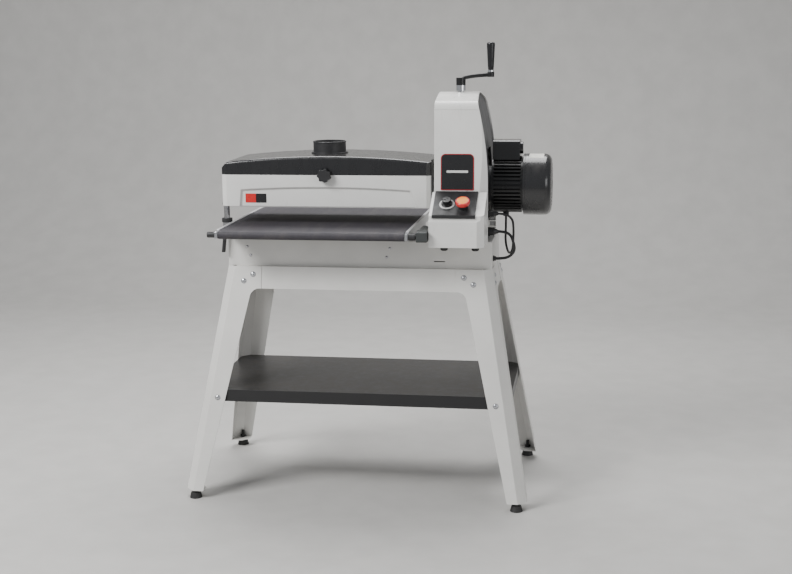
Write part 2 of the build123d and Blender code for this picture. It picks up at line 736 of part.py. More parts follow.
with BuildPart() as column_top_plate:
    block((at(screw_x) - 40, at(screw_x) + 40), (-rod_y - 22, rod_y + 22),
          (top_plate_z, top_plate_z + top_plate))
    fillet(column_top_plate.edges().filter_by(Axis.Z), 10)
    upright(screw_radius + running_fit, at(screw_x), 0, top_plate_z - 1, top_plate_z + top_plate + 1,
            Mode.SUBTRACT)
save(column_top_plate, "column_top_plate")


# ================================================================ console
console_back = column_foot_y + sheet_gap
slope_normal = Vector(0, -sin(radians(slope_angle)), cos(radians(slope_angle)))


def slope_point(y):
    """Height of the console's slope at a distance in front of the column's middle."""
    return console_slope_z[1] - (y - column_foot_y) * tan(radians(slope_angle))


def console_solid(inset, back):
    """The console drawn inwards by a wall: upright front, short brow, slope up to the column."""
    front = inset - console_front_y
    brow = inset - console_slope_y
    left = at(console_left) + inset
    right = at(console_right) - inset
    with BuildPart() as shape:
        with BuildSketch(Plane.YZ.offset(left)):
            with BuildLine():
                Polyline((-back, console_bottom_z + inset), (front, console_bottom_z + inset),
                         (front, console_brow_z - inset / 3), (brow, console_brow_z + 6 - inset / 3),
                         (brow, console_slope_z[0] - inset), (-back, slope_point(back) - inset), close=True)
            make_face()
        extrude(amount=right - left)
        with BuildSketch(Plane.XY.offset(console_bottom_z)):
            with BuildLine():
                Polyline((left, -back), (left, front), (right - console_bevel_x, front),
                         (right, front + console_bevel_y), (right, -back), close=True)
            make_face()
        extrude(amount=console_slope_z[1] - console_bottom_z + 10, mode=Mode.INTERSECT)
    return shape.part


console_outside = console_solid(0.0, console_back)
console_inside = console_solid(cover_wall, console_back - 2)
with BuildPart() as console_box:
    add(console_outside)
    add(console_inside, mode=Mode.SUBTRACT)
    for knob_place_x, knob_place_y, hole in ((speed_knob_x, speed_knob_y, 7.0), (stop_x, stop_y, 12.0)):
        hole_plane = plane_at(at(knob_place_x), -knob_place_y, slope_point(knob_place_y), slope_normal)
        with BuildSketch(hole_plane.offset(4)):
            Circle(hole)
        extrude(amount=-14, mode=Mode.SUBTRACT)
save(console_box, "console_box")

stop_collar = 12.0
with BuildPart() as control_panel:
    slope_plane = Plane(origin=(at(panel_x[0]), -console_slope_y, console_slope_z[0]), x_dir=(1, 0, 0),
                        z_dir=slope_normal)
    slope_length = (console_slope_y - column_foot_y) / cos(radians(slope_angle))
    with BuildSketch(slope_plane.offset(sheet_gap)):
        with Locations(((panel_x[1] - panel_x[0]) / 2, slope_length / 2)):
            Rectangle(panel_x[1] - panel_x[0], slope_length - 1)
    extrude(amount=panel_plate)
    block((at(panel_x[0]), at(panel_x[1])), (-console_slope_y - 4, -console_slope_y - sheet_gap),
          (console_brow_z + 10, console_slope_z[0] + 3))
    stop_plane = plane_at(at(stop_x), -stop_y, slope_point(stop_y), slope_normal)
    knob_plane = plane_at(at(speed_knob_x), -speed_knob_y, slope_point(speed_knob_y), slope_normal)
    with BuildSketch(stop_plane.offset(sheet_gap + panel_plate)):
        Circle(15)
    extrude(amount=stop_collar)
    for plane, hole in ((stop_plane, 8.0), (knob_plane, 3.0)):
        with BuildSketch(plane.offset(-6)):
            Circle(hole + running_fit)
        extrude(amount=40, mode=Mode.SUBTRACT)
save(control_panel, "control_panel")

panel_face = sheet_gap + panel_plate
stop_travel = 4.0
with BuildPart() as stop_button:
    with BuildSketch(stop_plane.offset(-8)):
        Circle(8.0)
    extrude(amount=8 + panel_face + stop_collar + stop_travel + 1)
    with BuildSketch(stop_plane.offset(panel_face + stop_collar + stop_travel + 1)):
        Circle(21)
    extrude(amount=11)
    fillet(stop_button.edges().filter_by(GeomType.CIRCLE).sort_by(Axis.Z)[-1:], 4)
save(stop_button, "stop_button")

with BuildPart() as speed_knob:
    with BuildSketch(knob_plane.offset(-8)):
        Circle(3.0)
    extrude(amount=8 + panel_face + 1)
    with BuildSketch(knob_plane.offset(panel_face + 0.6)):
        Circle(17)
    extrude(amount=3)
    with BuildSketch(knob_plane.offset(panel_face + 3.6)):
        Circle(14)
    extrude(amount=14, taper=5)
    with BuildSketch(knob_plane.offset(panel_face + 16)):
        with Locations((0, 8)):
            Rectangle(1.6, 12)
    extrude(amount=3, mode=Mode.SUBTRACT)
save(speed_knob, "speed_knob")

# ================================================================ crank and lead screw
screw_end_z = drum_axis_z + lift_up + 44
with BuildPart() as lead_screw:
    upright(screw_radius, at(screw_x), 0, screw_end_z, crank_hub_z[0] + 10)
    upright(screw_radius + 4, at(screw_x), 0, top_plate_z + top_plate + body_gap, top_plate_z + top_plate + 7)
save(lead_screw, "lead_screw")

arm_end_z = crank_hub_z[1] + crank_rise
with BuildPart() as crank_fittings:
    upright(crank_hub_radius, at(screw_x), 0, column_crown_z - 4, crank_hub_z[0])
    upright(screw_radius, at(screw_x), 0, column_crown_z - 5, crank_hub_z[0] + 1, Mode.SUBTRACT)
    pin_x = at(screw_x + crank_reach)
    upright(4.0, pin_x, 0, arm_end_z + 1, grip_z[1] - 8)
    upright(9.0, pin_x, 0, arm_end_z + 1, grip_z[0] - body_gap)
save(crank_fittings, "crank_fittings")

with BuildPart() as crank_arm:
    upright(crank_hub_radius, at(screw_x), 0, crank_hub_z[0], crank_hub_z[1])
    with BuildLine() as arm_path:
        Spline((at(screw_x), 0, crank_hub_z[1] - 7), (at(screw_x) + 34, 0, crank_hub_z[1] + 4),
               (at(screw_x + crank_reach), 0, arm_end_z - 7), tangents=((0.75, 0, 0.66), (1, 0, 0.04)))
    with BuildSketch(Plane(origin=arm_path.line @ 0, z_dir=arm_path.line % 0)):
        RectangleRounded(12, 17, 5)
    sweep(path=arm_path.line)
    upright(10.5, at(screw_x + crank_reach), 0, arm_end_z - 14, arm_end_z + 1)
    fillet(crank_arm.faces().sort_by(Axis.Z)[-1].edges(), 1.5)
    upright(screw_radius, at(screw_x), 0, crank_hub_z[0] - 1, crank_hub_z[0] + 10, Mode.SUBTRACT)
save(crank_arm, "crank_arm")

with BuildPart() as crank_grip:
    with BuildSketch(Plane.XZ):
        with BuildLine():
            Polyline((pin_x + 4.0 + running_fit, grip_z[0]), (pin_x + grip_base_radius, grip_z[0]),
                     (pin_x + grip_base_radius + 1.2, grip_z[0] + 12), (pin_x + grip_top_radius,
                             grip_z[1] - 6),
                     (pin_x + grip_top_radius - 2, grip_z[1] - 1.5), (pin_x + grip_top_radius - 6, grip_z[1]),
                     (pin_x, grip_z[1]), (pin_x, grip_z[1] - 7), (pin_x + 4.0 + running_fit,
                             grip_z[1] - 7), close=True)
        make_face()
    revolve(axis=Axis((pin_x, 0, 0), (0, 0, 1)))
save(crank_grip, "crank_grip")

# ================================================================ head: carriage and covers
with BuildPart() as carriage:
    block((at(screw_x) - 39, at(screw_x) + 36), (-rod_y - 22, rod_y + 22),
          (drum_axis_z - 50, drum_axis_z + 42))
    fillet(carriage.edges().filter_by(Axis.Z), 8)
    block((at(head_right), at(screw_x) - 30), (-arm_half_y, arm_half_y), arm_z)
    rod(flange_radius, at(screw_x) + 30, at(motor_left), 0, drum_axis_z)
    block((at(screw_x) - 39, at(screw_x) - 24), (-26, 26), (drum_axis_z + 40, nut_z + nut_height))
    upright(26, at(screw_x), 0, nut_z, nut_z + nut_height)
    block((at(screw_x) - 30, at(screw_x)), (-26, 26), (nut_z, nut_z + nut_height))
    rod(carriage_bore, at(head_right) - 1, at(motor_left) + 1, 0, drum_axis_z, Mode.SUBTRACT)
    upright(nut_radius, at(screw_x), 0, nut_z - 1, nut_z + nut_height + 1, Mode.SUBTRACT)
    for y_side in (-1, 1):
        upright(rod_radius + running_fit, at(screw_x), y_side * rod_y, drum_axis_z - 60, drum_axis_z + 50,
                Mode.SUBTRACT)
save(carriage, "carriage")

with BuildPart() as lift_nut:
    upright(nut_radius, at(screw_x), 0, nut_z, nut_z + nut_height)
    upright(screw_radius + running_fit, at(screw_x), 0, nut_z - 1, nut_z + nut_height + 1, Mode.SUBTRACT)
save(lift_nut, "lift_nut")

head_x = (at(head_left), at(head_right))
plate_half_y = head_half_y - head_wall


def head_cover(y_side):
    """A cast cover along the head: a thick wall with bevelled ends."""
    outer = y_side * head_half_y
    inner = y_side * plate_half_y
    points = [
        (head_x[0], inner),
        (head_x[0], outer - y_side * head_bevel_y),
        (head_x[0] + head_bevel_x, outer),
        (head_x[1] - head_bevel_x, outer),
        (head_x[1], outer - y_side * head_bevel_y),
        (head_x[1], inner),
    ]
    with BuildSketch(Plane.XY.offset(head_bottom_z)) as plan:
        with BuildLine():
            Polyline(*points, close=True)
        make_face()
    extrude(plan.sketch, amount=head_split_z - head_bottom_z)


knob_plane_y = head_half_y + 1.0
tab_y = (-plate_half_y + 2.0, -plate_half_y + 5.0)
with BuildPart() as head_front_cover:
    head_cover(-1)
    with BuildSketch(Plane.XZ.offset(head_half_y)):
        with BuildLine():
            Polyline((at(panel_high[1]), panel_shoulder_z), (at(panel_low[1]), head_bottom_z),
                     (at(panel_low[1] + 8), head_bottom_z - 20), (at(panel_low[0] - 8), head_bottom_z - 20),
                     (at(panel_low[0]), head_bottom_z), (at(panel_high[0]), panel_shoulder_z))
            ThreePointArc((at(panel_high[0]), panel_shoulder_z), (at(head_middle), panel_crown_z),
                          (at(panel_high[1]), panel_shoulder_z))
        make_face()
    extrude(amount=-panel_depth, taper=panel_slope, mode=Mode.SUBTRACT)
    with BuildSketch(Plane.XZ.offset(head_half_y + 1)):
        with Locations((at(head_middle), head_split_z)):
            Circle(knob_shank_radius + body_gap)
    extrude(amount=-head_wall - 2, mode=Mode.SUBTRACT)
save(head_front_cover, "head_front_cover")

with BuildPart() as head_rear_cover:
    head_cover(1)
    for hinge in hinge_x:
        for side in (-1, 1):
            knuckle_x = at(hinge) + side * (hinge_knuckle + 2 * body_gap) - hinge_knuckle / 2
            rod(hinge_knuckle_radius, knuckle_x, knuckle_x + hinge_knuckle, hinge_y, head_split_z)
            block((knuckle_x, knuckle_x + hinge_knuckle), (head_half_y - 2, hinge_y),
                  (head_split_z - 14, head_split_z - 1))
        rod(hinge_pin_radius + running_fit, at(hinge) - 40, at(hinge) + 40, hinge_y, head_split_z,
            Mode.SUBTRACT)
save(head_rear_cover, "head_rear_cover")

with BuildPart() as cover_hinge_pins:
    for hinge in hinge_x:
        rod(hinge_pin_radius, at(hinge) - 32, at(hinge) + 32, hinge_y, head_split_z)
save(cover_hinge_pins, "cover_hinge_pins")

bearing_radius = 26.0
rib_y = (press_roller_y - carrier_width / 2 - body_gap, press_roller_y + carrier_width / 2 + body_gap)
for name, x_from, rib_side, bore in (
    ("head_left_end", head_x[0], 1, bearing_radius),
    ("head_right_end", head_x[1] - end_plate, -1, carriage_bore),
):
    with BuildPart() as end:
        block((x_from, x_from + end_plate), (-plate_half_y, plate_half_y), (head_bottom_z, head_split_z - 1))
        rib_from = x_from + end_plate if rib_side > 0 else x_from - guide_rib_depth
        for y_side in (-1, 1):
            for y_near in (rib_y[0] - guide_rib, rib_y[1]):
                low, high = sorted((y_side * y_near, y_side * (y_near + guide_rib)))
                block((rib_from, rib_from + guide_rib_depth), (low, high),
                      (head_bottom_z + 2, head_split_z - 6))
        rod(bore, x_from - 1, x_from + end_plate + 1, 0, drum_axis_z, Mode.SUBTRACT)
    save(end, name)

with BuildPart() as drum_bearings:
    for x_from, x_to, outer in ((head_x[0], head_x[0] + end_plate, bearing_radius),
                                (at(head_right) + 12, at(head_right) + 28, carriage_bore)):
        rod(outer, x_from, x_to, 0, drum_axis_z)
        rod(shaft_radius + running_fit, x_from - 1, x_to + 1, 0, drum_axis_z, Mode.SUBTRACT)
save(drum_bearings, "drum_bearings")

with BuildPart() as gap_seal:
    block((head_x[1] + sheet_gap, head_x[1] + 5), (-head_half_y + 4, head_half_y - 4),
          (arm_z[0], lid_end_z + 8))
    block((head_x[1] - 1, head_x[1] + 8), (-arm_half_y - sheet_gap, arm_half_y + sheet_gap),
          (arm_z[0] - 1, arm_z[1] + sheet_gap), Mode.SUBTRACT)
    for y_side in (-1, 1):
        low, high = sorted((y_side * 85.0, y_side * 110.0))
        block((head_x[1], head_x[1] + 2), (low, high), (arm_z[0] + 4, head_split_z - 8))
save(gap_seal, "gap_seal")

# ================================================================ drum, shaft and motor
motor_x = (at(motor_left), at(motor_left) + motor_body_length)
with BuildPart() as drum_shell:
    rod(drum_radius, at(belt_left), at(belt_right), 0, drum_axis_z)
    rod(drum_radius - drum_wall, at(belt_left) + 12, at(belt_right) - 12, 0, drum_axis_z, Mode.SUBTRACT)
    rod(shaft_radius, at(belt_left) - 1, at(belt_right) + 1, 0, drum_axis_z, Mode.SUBTRACT)
save(drum_shell, "drum_shell")

with BuildPart() as abrasive_wrap:
    rod(drum_radius + wrap_sheet, at(belt_left) + 2, at(belt_right) - 2, 0, drum_axis_z)
    rod(drum_radius, at(belt_left), at(belt_right), 0, drum_axis_z, Mode.SUBTRACT)
save(abrasive_wrap, "abrasive_wrap")

with BuildPart() as drum_shaft:
    rod(shaft_radius, head_x[0] + 2, at(motor_end) - 24, 0, drum_axis_z)
    rod(26.0, at(screw_x) - 30, at(screw_x) + 42, 0, drum_axis_z)
    rod(motor_bore - 4, motor_x[0] + 20, motor_x[1] - 22, 0, drum_axis_z)
    rod(fan_cover_radius - 20, motor_x[1] + 18, motor_x[1] + 36, 0, drum_axis_z)
save(drum_shaft, "drum_shaft")

with BuildPart() as motor_housing:
    rod(motor_body_radius, motor_x[0], motor_x[1], 0, drum_axis_z)
    with BuildSketch(Plane.YZ.offset(motor_x[0] + 6)):
        with Locations((0, drum_axis_z)):
            with PolarLocations(motor_body_radius - 2 + (fin_radius - motor_body_radius + 2) / 2, fin_count):
                Rectangle(fin_radius - motor_body_radius + 2, fin_sheet)
    extrude(amount=motor_body_length - 12)
    rod(fin_radius - 4, motor_x[0], motor_x[0] + 7, 0, drum_axis_z)
    rod(fin_radius - 4, motor_x[1] - 7, motor_x[1], 0, drum_axis_z)
    upright(9.0, at(lead_boss_x), 0, lead_boss_z, drum_axis_z - motor_body_radius + 4)
    rod(motor_bore, motor_x[0] + 12, motor_x[1] - 12, 0, drum_axis_z, Mode.SUBTRACT)
    rod(shaft_radius + running_fit, motor_x[0] - 1, motor_x[1] + 1, 0, drum_axis_z, Mode.SUBTRACT)
save(motor_housing, "motor_housing")

with BuildPart() as fan_cover:
    rod(fan_cover_radius, motor_x[1], at(motor_end), 0, drum_axis_z)
    fillet(fan_cover.faces().sort_by(Axis.X)[-1].edges(), fan_cover_edge)
    rod(fan_cover_radius - fan_cover_wall, motor_x[1] - 1, at(motor_end) - fan_cover_edge, 0, drum_axis_z,
        Mode.SUBTRACT)
    rod(fan_cover_radius - fan_cover_edge, at(motor_end) - fan_cover_edge - 1, at(motor_end) - fan_cover_wall,
        0, drum_axis_z, Mode.SUBTRACT)
    with BuildSketch(Plane.YZ.offset(motor_x[1])):
        with Locations((0, drum_axis_z)):
            with PolarLocations((fan_cover_radius + motor_body_radius) / 2 - 3, 4, start_angle=45):
                Rectangle(fan_cover_radius - motor_body_radius + 3, 12)
    extrude(amount=8)
save(fan_cover, "fan_cover")

with BuildPart() as capacitor_box:
    capacitor_low = drum_axis_z + (fin_radius ** 2 - capacitor_half_y ** 2) ** 0.5 - 4
    block((at(capacitor_x[0]), at(capacitor_x[1])), (-capacitor_half_y, capacitor_half_y),
          (capacitor_low, capacitor_top_z))
    fillet(capacitor_box.edges().filter_by(Axis.X).sort_by(Axis.Z)[-2:], 16)
    rod(18.0, at(capacitor_x[1]), at(capacitor_x[1]) + 9, -12, capacitor_top_z - 24)
    rod(fin_radius + running_fit, at(capacitor_x[0]) - 1, at(capacitor_x[1]) + 12, 0, drum_axis_z,
        Mode.SUBTRACT)
save(capacitor_box, "capacitor_box")


# ================================================================ dust cover
def lid_block(inset):
    """The dust cover's outer shape, drawn inwards: bevelled ends, arched top, rounded long edges."""
    x_from = head_x[0] + inset
    x_to = head_x[1] - inset
    half_y = head_half_y - inset
    low_z = head_split_z + body_gap
    end_z = lid_end_z - inset
    cut = lid_corner
    bevel_x = head_bevel_x - inset / 2
    bevel_y = head_bevel_y - inset / 2
    with BuildPart() as lid:
        with BuildSketch(Plane.XY.offset(low_z)):
            with BuildLine():
                Polyline((x_from, -half_y + bevel_y), (x_from + bevel_x, -half_y), (x_to - bevel_x, -half_y),
                         (x_to, -half_y + bevel_y), (x_to, half_y - bevel_y), (x_to - bevel_x, half_y),
                         (x_from + bevel_x, half_y), (x_from, half_y - bevel_y), close=True)
            make_face()
        extrude(amount=lid_crown_z + 10 - low_z)
        with BuildSketch(Plane.XZ):
            with BuildLine():
                Polyline((x_to, end_z), (x_to, low_z - 5), (x_from, low_z - 5), (x_from, end_z - cut),
                         (x_from + cut, end_z))
                ThreePointArc((x_from + cut, end_z), (at(head_middle), lid_crown_z - inset), (x_to, end_z))
            make_face()
        extrude(amount=half_y + 5, both=True, mode=Mode.INTERSECT)
        crown = lid.faces().filter_by(GeomType.CYLINDER).sort_by(Axis.Z)[-1]
        fillet(crown.edges().filter_by(GeomType.CIRCLE), lid_edge_radius - inset)
    return lid.part


lid_outside = lid_block(0.0)
lid_inside = lid_block(lid_wall)
with BuildPart() as dust_cover:
    add(lid_outside)
    add(lid_inside, mode=Mode.SUBTRACT)
    for hinge in hinge_x:
        rod(hinge_knuckle_radius, at(hinge) - hinge_knuckle / 2, at(hinge) + hinge_knuckle / 2, hinge_y,
            head_split_z)
        block((at(hinge) - hinge_knuckle / 2, at(hinge) + hinge_knuckle / 2),
              (head_half_y - lid_wall, hinge_y), (head_split_z + 1, head_split_z + 14))
        rod(hinge_pin_radius + running_fit, at(hinge) - 30, at(hinge) + 30, hinge_y, head_split_z,
            Mode.SUBTRACT)
    block((at(head_middle) - 16, at(head_middle) + 16), tab_y, (head_split_z - 22, head_split_z + 18))
    block((at(head_middle) - 16, at(head_middle) + 16), (-head_half_y + 1, tab_y[1]),
          (head_split_z + 12, head_split_z + 18))
    with BuildSketch(Plane.XZ.offset(head_half_y + 1)):
        with Locations((at(head_middle), head_split_z)):
            Circle(knob_shank_radius + running_fit)
    extrude(amount=-head_wall - 10, mode=Mode.SUBTRACT)
    upright(port_radius - port_wall, at(port_x), 0, head_split_z + 20, lid_crown_z + 20, Mode.SUBTRACT)
    upright(port_flange_radius + sheet_gap, at(port_x), 0, lid_crown_z - 0.8, lid_crown_z + 20, Mode.SUBTRACT)
save(dust_cover, "dust_cover")

with BuildPart() as dust_port:
    upright(port_radius, at(port_x), 0, lid_crown_z - 0.8, port_top_z)
    upright(port_flange_radius, at(port_x), 0, lid_crown_z - 0.8, lid_crown_z - 0.8 + port_flange)
    upright(port_radius - port_wall, at(port_x), 0, lid_crown_z - 2, port_top_z + 1, Mode.SUBTRACT)
save(dust_port, "dust_port")

with BuildPart() as cover_knob:
    with BuildSketch(Plane.XZ.offset(knob_plane_y)):
        with Locations((at(head_middle), head_split_z)):
            Circle(knob_radius)
            with PolarLocations(knob_radius + 5, 7):
                Circle(8.5, mode=Mode.SUBTRACT)
    extrude(amount=knob_depth)
    with BuildSketch(Plane.XZ.offset(knob_plane_y)):
        with Locations((at(head_middle), head_split_z)):
            Circle(knob_shank_radius)
    extrude(amount=-(knob_plane_y + tab_y[1]))
save(cover_knob, "cover_knob")

# ================================================================ pressure rollers
for name, y_side in (("infeed", -1), ("outfeed", 1)):
    carrier_spans = ((head_x[0] + end_plate + body_gap, at(belt_left) - 3),
                     (head_x[1] - end_plate - body_gap - 13, head_x[1] - end_plate - body_gap))
    roller_y_place = y_side * press_roller_y
    with BuildPart() as roller:
        rod(press_roller_radius, at(belt_left), at(belt_right), roller_y_place, press_axis_z)
        rod(press_journal_radius, carrier_spans[0][0], carrier_spans[1][1], roller_y_place, press_axis_z)
    save(roller, f"{name}_roller")
    with BuildPart() as carrier:
        for span in carrier_spans:
            low, high = roller_y_place - carrier_width / 2, roller_y_place + carrier_width / 2
            block(span, (low, high), (head_bottom_z + 1, head_bottom_z + 1 + carrier_height))
            rod(press_journal_radius + running_fit, span[0] - 1, span[1] + 1, roller_y_place, press_axis_z,
                Mode.SUBTRACT)
    save(carrier, f"{name}_carrier")

# ================================================================ glands and leads
panel_face_x = at(column_right) - panel_recess
with BuildPart() as cord_glands:
    for gland_z, gland_radius, lead_radius in ((motor_gland_z, 11.5, motor_lead_radius),
                                               (supply_gland_z, 15.0, supply_lead_radius)):
        with BuildSketch(Plane.YZ.offset(panel_face_x)):
            with Locations((lead_y, gland_z)):
                RegularPolygon(gland_radius, 6)
        extrude(amount=8)
        with BuildSketch(Plane.YZ.offset(panel_face_x + 8)):
            with Locations((lead_y, gland_z)):
                Circle(gland_radius * 0.82)
        extrude(amount=12)
        with BuildSketch(Plane.YZ.offset(panel_face_x + 20)):
            with Locations((lead_y, gland_z)):
                Circle(gland_radius * 0.7)
        with BuildSketch(Plane.YZ.offset(at(gland_end_x))):
            with Locations((lead_y, gland_z)):
                Circle(lead_radius + 1.2)
        loft()
    rod(9.0, at(base_half_x), at(base_half_x) + 4, grommet_y, grommet_z)
    rod(7.0, at(base_half_x) + 4, at(grommet_end_x), grommet_y, grommet_z)
save(cord_glands, "cord_glands")


def lead_radii(name, points):
    """Arc radius at each corner of a lead's route, from its shorter run and its turn."""
    places = [Vector(*point) for point in points]
    radii = []
    for before, here, after in zip(places, places[1:], places[2:]):
        turn = (here - before).get_angle(after - here)
        shorter = min((here - before).length, (after - here).length)
        radii.append(0.45 * shorter / tan(radians(turn) / 2))
    print(name, "radii", [round(radius, 1) for radius in radii])
    return radii


def lead_tube(name, points, radius):
    """A lead's tube: straight runs joined by tangent arcs."""
    with BuildPart() as tube:
        with BuildLine() as route:
            FilletPolyline(*points, radius=lead_radii(name, points))
        with BuildSketch(Plane(origin=points[0], z_dir=Vector(*points[1]) - Vector(*points[0]))):
            Circle(radius)
        sweep(path=route.wires()[0])
    length = route.wires()[0].length
    print(name, "length", round(length), "volume ratio",
          round(tube.part.volume / (pi * radius ** 2 * length), 4))
    save(tube, name)


# Each route starts straight out of its gland, hangs in a loop and ends straight into its boss or grommet.
motor_start = (at(gland_end_x), lead_y, motor_gland_z)
motor_end_point = (at(lead_boss_x), 0, lead_boss_z)
motor_lead_offsets = ((20, 0, 0), (37, 3, -10), (46, 8, -27), (45, 14, -97), (37, 37, -126), (24, 73, -128))
motor_lead_points = [motor_start]
for off_x, off_y, off_z in motor_lead_offsets:
    motor_lead_points.append((motor_start[0] + off_x, motor_start[1] + off_y, motor_start[2] + off_z))
motor_lead_points.append((motor_end_point[0] - 1.5, -4, motor_end_point[2] - 78))
motor_lead_points.append((motor_end_point[0], 0, motor_end_point[2] - 37))
motor_lead_points.append(motor_end_point)

supply_start = (at(gland_end_x), lead_y, supply_gland_z)
supply_end = (at(grommet_end_x), grommet_y, grommet_z)
supply_lead_points = [supply_start]
for off_x, off_y, off_z in ((21, 0, 0), (39.5, -3, -11), (47, -8, -32)):
    supply_lead_points.append((supply_start[0] + off_x, supply_start[1] + off_y, supply_start[2] + off_z))
for off_x, off_y, off_z in ((58, -10, 28), (44, -3, 8), (22, 0, 0)):
    supply_lead_points.append((supply_end[0] + off_x, supply_end[1] + off_y, supply_end[2] + off_z))
supply_lead_points.append(supply_end)
lead_tube("motor_lead", motor_lead_points, motor_lead_radius)
lead_tube("supply_lead", supply_lead_points, supply_lead_radius)
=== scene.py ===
"""Open-ended drum sander on a splayed sheet stand: every visible piece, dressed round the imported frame.

Lengths are in metres.  +Z is up, +X runs along the drum towards the motor and the work goes in along +Y.
"""

import logging
from dataclasses import dataclass
from enum import Enum
from math import atan2, cos, degrees, pi, radians, sin
from typing import Any, Sequence

import bmesh
import bpy
from mathutils import Matrix, Vector


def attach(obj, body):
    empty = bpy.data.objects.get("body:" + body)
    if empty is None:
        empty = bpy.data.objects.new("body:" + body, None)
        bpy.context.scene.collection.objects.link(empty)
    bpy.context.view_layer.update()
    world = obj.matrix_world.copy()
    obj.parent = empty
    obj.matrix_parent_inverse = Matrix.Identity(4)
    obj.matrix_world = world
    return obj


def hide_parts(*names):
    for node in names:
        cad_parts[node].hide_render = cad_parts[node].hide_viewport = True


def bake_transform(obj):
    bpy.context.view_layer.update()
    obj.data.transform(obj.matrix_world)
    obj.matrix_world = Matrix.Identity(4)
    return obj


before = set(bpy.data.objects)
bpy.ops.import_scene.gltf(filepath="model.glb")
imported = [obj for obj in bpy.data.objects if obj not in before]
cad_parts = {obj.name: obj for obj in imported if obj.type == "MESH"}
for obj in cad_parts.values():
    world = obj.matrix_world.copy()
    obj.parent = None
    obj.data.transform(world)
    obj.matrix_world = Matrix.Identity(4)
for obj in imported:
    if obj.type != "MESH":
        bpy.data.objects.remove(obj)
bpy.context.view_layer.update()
LOG = logging.getLogger("drum_sander")
MM = 0.001
Point = Sequence[float]


# ---------------------------------------------------------------------------------- finishes
class Surface(Enum):
    """The shader groups that a finish can take its surface from."""

    PAINT = "paint_film"
    GRAIN = "moulded_grain"
    BRUSHED = "turning_marks"
    CAST = "cast_skin"
    GRIT = "abrasive_grit"
    RUBBER = "rubber_skin"


